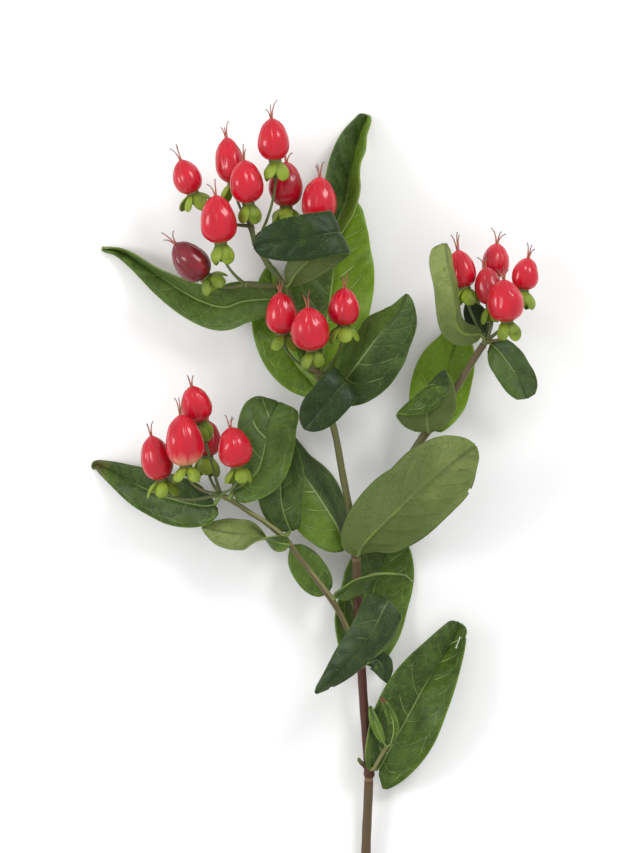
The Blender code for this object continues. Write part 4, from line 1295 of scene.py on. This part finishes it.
def berry_radius(height, around, look):
    """A berry's radius over its half-width, for a height from -1 at the calyx to 1 at the styles."""
    round_part = math.sqrt(max(1 - abs(height) ** (2.0 if height > 0 else 2.2), 0.0))
    egg = round_part * (0.975 - 0.16 * height)
    crown = 0.03 * max(height, 0.0) ** 3 * round_part
    lobes = 1 + 0.035 * math.cos(3 * around)
    from_suture = abs((around / (2 * math.pi) * 3 + 0.5) % 1.0 - 0.5) / 3 * 2 * math.pi
    away = 2 * math.pi / 6 - from_suture
    suture = look.suture * math.exp(-((away / 0.11) ** 2)) * (0.2 + 0.8 * max(height + 0.2, 0.0) ** 0.7)
    near_tip = max((height - 0.1) / 0.9, 0.0) ** 1.1
    ring = Vector((math.cos(around), math.sin(around), height * 0.4))
    wrinkle = look.wrinkle * near_tip * (noise.noise(ring * 3.4) + 0.7 * noise.noise(ring * 6.5))
    return (egg - crown) * (lobes - suture) + wrinkle * round_part


def model_berry(look, finish):
    """One berry of half-length and half-width 1, upright, which every berry is copied from."""
    obj = add_primitive(bpy.ops.mesh.primitive_uv_sphere_add, segments=96, ring_count=52, radius=1)
    for vert in obj.data.vertices:
        height = max(-1.0, min(1.0, vert.co.z))
        flat = vert.co.xy
        if flat.length < 1e-4:
            continue
        side = flat.normalized() * berry_radius(height, math.atan2(flat.y, flat.x), look)
        beak = 0.03 * max((height - 0.9) / 0.1, 0.0) ** 2
        vert.co = Vector((side.x, side.y, height + beak))
    obj.data.attributes.new("berry_mark", "FLOAT_COLOR", "POINT")
    obj.data.materials.append(finish)
    return obj


def add_threads(berry, look, finish, draw):
    """The dry styles on a berry's tip: they rise together, then spread and curl."""
    threads = []
    for index in range(STYLES):
        around = index * 2 * math.pi / STYLES + math.radians(berry.lean * 7) + draw.uniform(-0.4, 0.4)
        out = Vector((math.cos(around), math.sin(around), 0))
        askew = Vector((-out.y, out.x, 0)) * draw.uniform(-0.6, 0.6)
        tall = look.style_length / MM * draw.uniform(0.6, 1.15)
        spread = draw.uniform(0.9, 2.6)
        path = []
        for step in range(12):
            share = step / 11
            rise = berry.length / 2 - 0.5 + tall * share - 0.7 * max(share - 0.6, 0) ** 2 * tall
            drift = out * (0.32 + spread * share**2.2) + askew * share**2
            thick = look.style_radius / MM * (1 - 0.55 * share) * (1.5 - 0.5 * min(share * 8, 1.0))
            path.append((Vector((0, 0, rise)) + drift, thick))
        path[-1] = (path[-1][0], path[-1][1] * 1.5)
        thread = add_tube(round_ends(path), 8)
        thread.data.materials.append(finish)
        threads.append(thread)
    return threads


class HYPERICUM_OT_berries(bpy.types.Operator):
    """Models one berry and copies it to every place, each with its own threads"""

    bl_idname = "hypericum.add_berries"
    bl_label = "Add berries"

    def execute(self, context):
        look = context.scene.hypericum_berries
        skin, thread = berry_finish(look), thread_finish(look)
        pattern = model_berry(look, skin)
        berries = [berry for cluster in CLUSTERS for berry in cluster.berries]
        for index, berry in enumerate(berries):
            draw = random.Random(index + 3)
            body = copy_of(pattern)
            for vert in body.data.vertices:
                dent = 0.05 * noise.noise(vert.co * 1.3 + Vector((index * 7.1, 0, 0)))
                vert.co.xy = vert.co.xy * (1 + dent)
            spin = Matrix.Rotation(math.radians(-30) + draw.uniform(-0.5, 0.5), 4, "Z")
            half_width, half_length = berry.width / 2 * MM, berry.length / 2 * MM
            body.data.transform(Matrix.Diagonal((half_width, half_width, half_length, 1)) @ spin)
            for mark in body.data.attributes["berry_mark"].data:
                mark.color = (berry.dark, berry.pale, index * 3.7, 1)
            threads = add_threads(berry, look, thread, draw)
            piece = join_pieces(berry.name.replace("berry", "fruit"), [body] + threads)
            piece.data.transform(Matrix.Translation(Vector(berry.centre) * MM) @ berry_turn(berry))
            hand_over(piece, berry.name)
        bpy.data.objects.remove(pattern, do_unlink=True)
        return {"FINISHED"}


def sepal_half_width(share):
    """Half of a sepal's width as a share of the widest, with a narrow foot and a round end."""
    if share < 0.58:
        return 0.42 + 0.58 * math.sin(share / 0.58 * math.pi / 2) ** 1.3
    return max(math.sqrt(max(1 - ((share - 0.58) / 0.42) ** 2.3, 0.0)), 0.06)


def model_sepal(look, finish):
    """One cupped sepal along +Z with its outer side to -Y, which every sepal is copied from."""
    obj = add_primitive(
        bpy.ops.mesh.primitive_grid_add, x_subdivisions=12, y_subdivisions=16, size=2, calc_uvs=True
    )
    length, width = look.sepal_length / MM, look.sepal_width / MM
    for vert in obj.data.vertices:
        share, v = (vert.co.y + 1) / 2, vert.co.x
        side = v * width / 2 * sepal_half_width(share)
        cup = 0.65 * (1 - v * v) * math.sin(share * math.pi) ** 0.8
        curl = 1.3 * max(share - 0.35, 0) ** 2 * 2.2
        keel = 0.12 * math.exp(-((v / 0.14) ** 2)) + 0.02 * math.cos(v * 22)
        vert.co = Vector((side, cup - curl + keel, (share * 1.04 - 0.04) * length)) * MM
    obj.data.materials.append(finish)
    wall = obj.modifiers.new("wall", "SOLIDIFY")
    wall.thickness = look.sepal_thickness
    wall.offset = 0.0
    apply_modifiers(obj)
    return obj


def add_calyx(berry, look, stalk_green, pattern, draw):
    """The cup under a berry and its five bent-back sepals, at their place."""
    axis = berry_axis(berry)
    foot = Vector(berry.centre) - axis * (berry.length / 2 + BERRY_GAP + CUP_HEIGHT / 2)
    thin = look.stalk_radius / MM
    profile = (
        (-1.8, thin),
        (-0.9, thin * 1.2),
        (-0.3, 1.0),
        (0.3, 1.5),
        (0.8, 2.0),
        (1.2, 2.25),
        (1.45, 2.1),
        (1.5, 1.7),
    )
    cup = add_tube([(foot + axis * rise, radius) for rise, radius in profile], 16)
    cup.data.materials.append(stalk_green)
    pieces = [cup]
    for index in range(SEPALS):
        sepal = copy_of(pattern)
        around = Matrix.Rotation(index * 2 * math.pi / SEPALS + math.radians(berry.lean * 5), 4, "Z")
        droop = berry.reflex + SEPAL_UNEVEN * (index * 2 % SEPALS - 2) + draw.uniform(-4, 4)
        outward = Matrix.Translation(Vector((0, -SEPAL_FOOT * MM, SEPAL_RISE * MM)))
        tip_down = Matrix.Rotation(math.radians(90 + droop), 4, "X") @ Matrix.Rotation(SEPAL_TWIST, 4, "Z")
        size = Matrix.Scale(draw.uniform(0.88, 1.08), 4)
        turned = berry_turn(berry) @ around @ outward @ tip_down @ size
        sepal.data.transform(Matrix.Translation(foot * MM) @ turned)
        pieces.append(sepal)
    return pieces, foot, axis


def add_pedicel(start, foot, axis, look, finish):
    """A stalk that leaves its joint and bends into the berry's own axis."""
    bend = foot - axis * (foot - start).length * 0.45
    path = []
    for step in range(16):
        t = step / 15
        place = start * (1 - t) ** 2 + bend * 2 * t * (1 - t) + foot * t**2
        thick = 1.25 - 0.5 * math.sin(t * math.pi) ** 0.5 + 0.2 * t**6
        path.append((place, look.stalk_radius / MM * thick))
    stalk = add_tube(path, 12, lambda share, around: 1 + 0.05 * math.cos(2 * around + share * 2))
    stalk.data.materials.append(finish)
    return stalk


class HYPERICUM_OT_stalks(bpy.types.Operator):
    """Models the branched stalk of each bunch with the cup and sepals of every berry"""

    bl_idname = "hypericum.add_stalks"
    bl_label = "Add berry stalks"

    def execute(self, context):
        look = context.scene.hypericum_stalks
        green, leafy = stalk_finish(look), sepal_finish(look)
        pattern = model_sepal(look, leafy)
        stem_end = [Vector(tube.points[-1][:3]) for tube in (MAIN_STEM, RIGHT_BRANCH, LEFT_BRANCH)]
        stem_end += [Vector(p[:3]) for p in smooth_points(MAIN_STEM.points, 200)]
        for cluster in CLUSTERS:
            draw = random.Random(len(cluster.name))
            joints = {name: Vector(place) for name, place in cluster.joints.items()}
            foot = nearest(stem_end, joints["start"])
            slim, swell = look.main_radius / MM, look.joint_radius / MM
            pieces = []
            runs = [(foot, joints["start"])]
            runs += [tuple(joints[joint] for joint in stalk) for stalk in cluster.stalks]
            for stalk in runs:
                line = smooth_points(stalk, 8 * len(stalk))
                path = []
                for place in line:
                    near = min((place - joint).length for joint in joints.values())
                    thick = slim + (swell - slim) * math.exp(-((near / 1.3) ** 2))
                    path.append((place, thick))
                run = add_tube(round_ends(path), 14, lambda share, around: 1 + 0.04 * math.cos(2 * around))
                run.data.materials.append(green)
                pieces.append(run)
            for berry in cluster.berries:
                calyx, base, axis = add_calyx(berry, look, green, pattern, draw)
                pieces += calyx
                pieces.append(add_pedicel(joints[berry.joint], base, axis, look, green))
            name = cluster.name.replace("cluster_stalks", "bunch")
            hand_over(join_pieces(name, pieces), cluster.name)
        bpy.data.objects.remove(pattern, do_unlink=True)
        return {"FINISHED"}


def stem_relief(look, nodes):
    """Two lengthwise ridges, shallow dents and a scar line round each place where leaves sit."""

    def relief(share, around):
        ridges = look.ridge * max(math.cos(around * 2 + share * 3), 0.0) ** 6
        dents = 0.025 * math.sin(share * 61 + around) + 0.02 * math.sin(share * 143 + 2 * around)
        scars = sum(0.1 * math.exp(-(((share - node) / 0.0022) ** 2)) for node in nodes)
        return 1 + ridges + dents - scars

    return relief


def stem_path(points, steps):
    """Places and radii at even steps along a tube's centre line."""
    return [(Vector(p[:3]), p[3]) for p in smooth_points(points, steps)]


def share_along(tube, y):
    """How far along a tube its centre line passes a given height in the photograph's up direction."""
    line = smooth_points(tube.points, 400)
    return min(range(401), key=lambda i: abs(line[i].y - y)) / 400


class HYPERICUM_OT_main_stem(bpy.types.Operator):
    """Models the woody stem with its leaf scars, its dead stub and its cut end"""

    bl_idname = "hypericum.add_main_stem"
    bl_label = "Add main stem"

    def execute(self, context):
        look = context.scene.hypericum_bark
        nodes = [share_along(MAIN_STEM, y) for y in PAIR_HEIGHTS]
        path = stem_path(MAIN_STEM.points, 420)
        end, radius = path[0]
        back = (path[0][0] - path[1][0]).normalized()
        cut = [(end + back * 0.02, radius * 0.45), (end, radius * 0.92), (end - back * 0.1, radius)]
        stem = add_tube(cut + path[1:], 36, stem_relief(look, nodes))
        turn = share_along(MAIN_STEM, BARK_CHANGE_HEIGHT)
        stem.data.materials.append(bark_finish(look, "stem bark", look.brown, look.olive, turn, nodes))
        stem.data.materials.append(wood_finish(look))
        for face in stem.data.polygons:
            if face.center.y < (end.y + 0.3) * MM and face.normal.y < -0.8:
                face.material_index = 1
        stub = add_tube(
            stem_path(DEAD_STUB, 14), 12, lambda share, around: 1 + 0.12 * math.sin(3 * around + 9 * share)
        )
        stub.data.materials.append(stem.data.materials[0])
        hand_over(join_pieces("woody_stem", [stem, stub]), "main_stem")
        return {"FINISHED"}


class HYPERICUM_OT_branches(bpy.types.Operator):
    """Models the two side branches and the young shoot's stalk, each grown out of the main stem"""

    bl_idname = "hypericum.add_branches"
    bl_label = "Add branches"

    def execute(self, context):
        look = context.scene.hypericum_bark
        barks = (
            bark_finish(look, "right branch bark", look.olive, look.tan, 0.55),
            bark_finish(look, "left branch bark", look.tan, look.olive, 0.55),
            bark_finish(look, "shoot bark", look.olive, look.olive, 0.5),
        )
        trunk = [Vector(p[:3]) for p in smooth_points(MAIN_STEM.points, 400)]
        for tube, bark in zip((RIGHT_BRANCH, LEFT_BRANCH, SHOOT_STALK), barks):
            first = tube.points[0]
            root = nearest(trunk, Vector(first[:3]) - (Vector(tube.points[1][:3]) - Vector(first[:3])) * 0.3)
            points = ((*root, first[3] * 1.3),) + tube.points
            branch = add_tube(round_ends(stem_path(points, 160)), 24, stem_relief(look, ()))
            branch.data.materials.append(bark)
            hand_over(join_pieces(tube.name.replace("_", "_bark_", 1), [branch]), tube.name)
        return {"FINISHED"}


def aim(obj, place, target):
    """Puts an object at a place and turns its -Z towards the target."""
    obj.location = place
    obj.rotation_euler = (Vector(target) - Vector(place)).to_track_quat("-Z", "Y").to_euler()


class HYPERICUM_OT_stage(bpy.types.Operator):
    """Adds the floor, the sky, the two soft lamps and the camera"""

    bl_idname = "hypericum.add_stage"
    bl_label = "Add stage"

    def execute(self, context):
        look = context.scene.hypericum_stage
        floor = add_primitive(bpy.ops.mesh.primitive_plane_add, size=look.floor_size)
        floor.name = "floor"
        floor.data.transform(Matrix.Translation((0, 0, -0.15 * MM)))
        floor.data.materials.append(floor_finish(look))
        world = bpy.data.worlds.new("soft sky")
        context.scene.world = world
        world.use_nodes = True
        sky = world.node_tree.nodes["Background"]
        sky.inputs["Color"].default_value = (1, 1, 1, 1)
        sky.inputs["Strength"].default_value = look.sky
        context.scene.view_settings.view_transform = "Standard"
        for name, place, power, size in (
            ("left lamp", (-0.85, 0.1, 0.65), look.left_lamp, 0.35),
            ("right lamp", (0.5, 0.65, 0.75), look.right_lamp, 0.35),
        ):
            bpy.ops.object.light_add(type="AREA")
            lamp = context.object
            lamp.name = name
            lamp.data.shape = "SQUARE"
            lamp.data.size = size
            lamp.data.energy = power
            aim(lamp, place, (0.0, 0.03, 0.02))
        bpy.ops.object.camera_add()
        camera = context.object
        target = Vector((0.002, 0.0317, 0.018))
        view_height = PHOTO_HEIGHT / PIXELS_PER_MM * MM
        camera.location = target + Vector((0, 0, look.camera_height))
        camera.rotation_euler = (0, 0, 0)
        camera.data.sensor_width = 36
        camera.data.lens = 36 * look.camera_height / view_height
        camera.data.clip_end = 10
        context.scene.camera = camera
        return {"FINISHED"}


class HYPERICUM_PT_build(bpy.types.Panel):
    """Lists the pieces of the stem in the 3D view's sidebar"""

    bl_idname = "HYPERICUM_PT_build"
    bl_label = "Hypericum berry stem"
    bl_space_type = "VIEW_3D"
    bl_region_type = "UI"
    bl_category = "Hypericum"

    def draw(self, context):
        for operator in OPERATORS:
            self.layout.operator(operator.bl_idname)
        for name, _ in SETTINGS:
            group = getattr(context.scene, name)
            box = self.layout.box()
            for setting in group.__annotations__:
                box.prop(group, setting)


SETTINGS = (
    ("hypericum_leaves", HYPERICUM_PG_leaves),
    ("hypericum_berries", HYPERICUM_PG_berries),
    ("hypericum_stalks", HYPERICUM_PG_stalks),
    ("hypericum_bark", HYPERICUM_PG_bark),
    ("hypericum_stage", HYPERICUM_PG_stage),
)
OPERATORS = (
    HYPERICUM_OT_main_stem,
    HYPERICUM_OT_branches,
    HYPERICUM_OT_leaves,
    HYPERICUM_OT_stalks,
    HYPERICUM_OT_berries,
    HYPERICUM_OT_stage,
)


def register():
    for name, group in SETTINGS:
        bpy.utils.register_class(group)
        setattr(bpy.types.Scene, name, bpy.props.PointerProperty(type=group))
    for operator in OPERATORS:
        bpy.utils.register_class(operator)
    bpy.utils.register_class(HYPERICUM_PT_build)


def unregister():
    bpy.utils.unregister_class(HYPERICUM_PT_build)
    for operator in reversed(OPERATORS):
        bpy.utils.unregister_class(operator)
    for name, group in reversed(SETTINGS):
        delattr(bpy.types.Scene, name)
        bpy.utils.unregister_class(group)


def main():
    register()
    bpy.ops.hypericum.add_main_stem()
    bpy.ops.hypericum.add_branches()
    bpy.ops.hypericum.add_leaves()
    bpy.ops.hypericum.add_stalks()
    bpy.ops.hypericum.add_berries()
    bpy.ops.hypericum.add_stage()


if __name__ == "__main__":
    main()
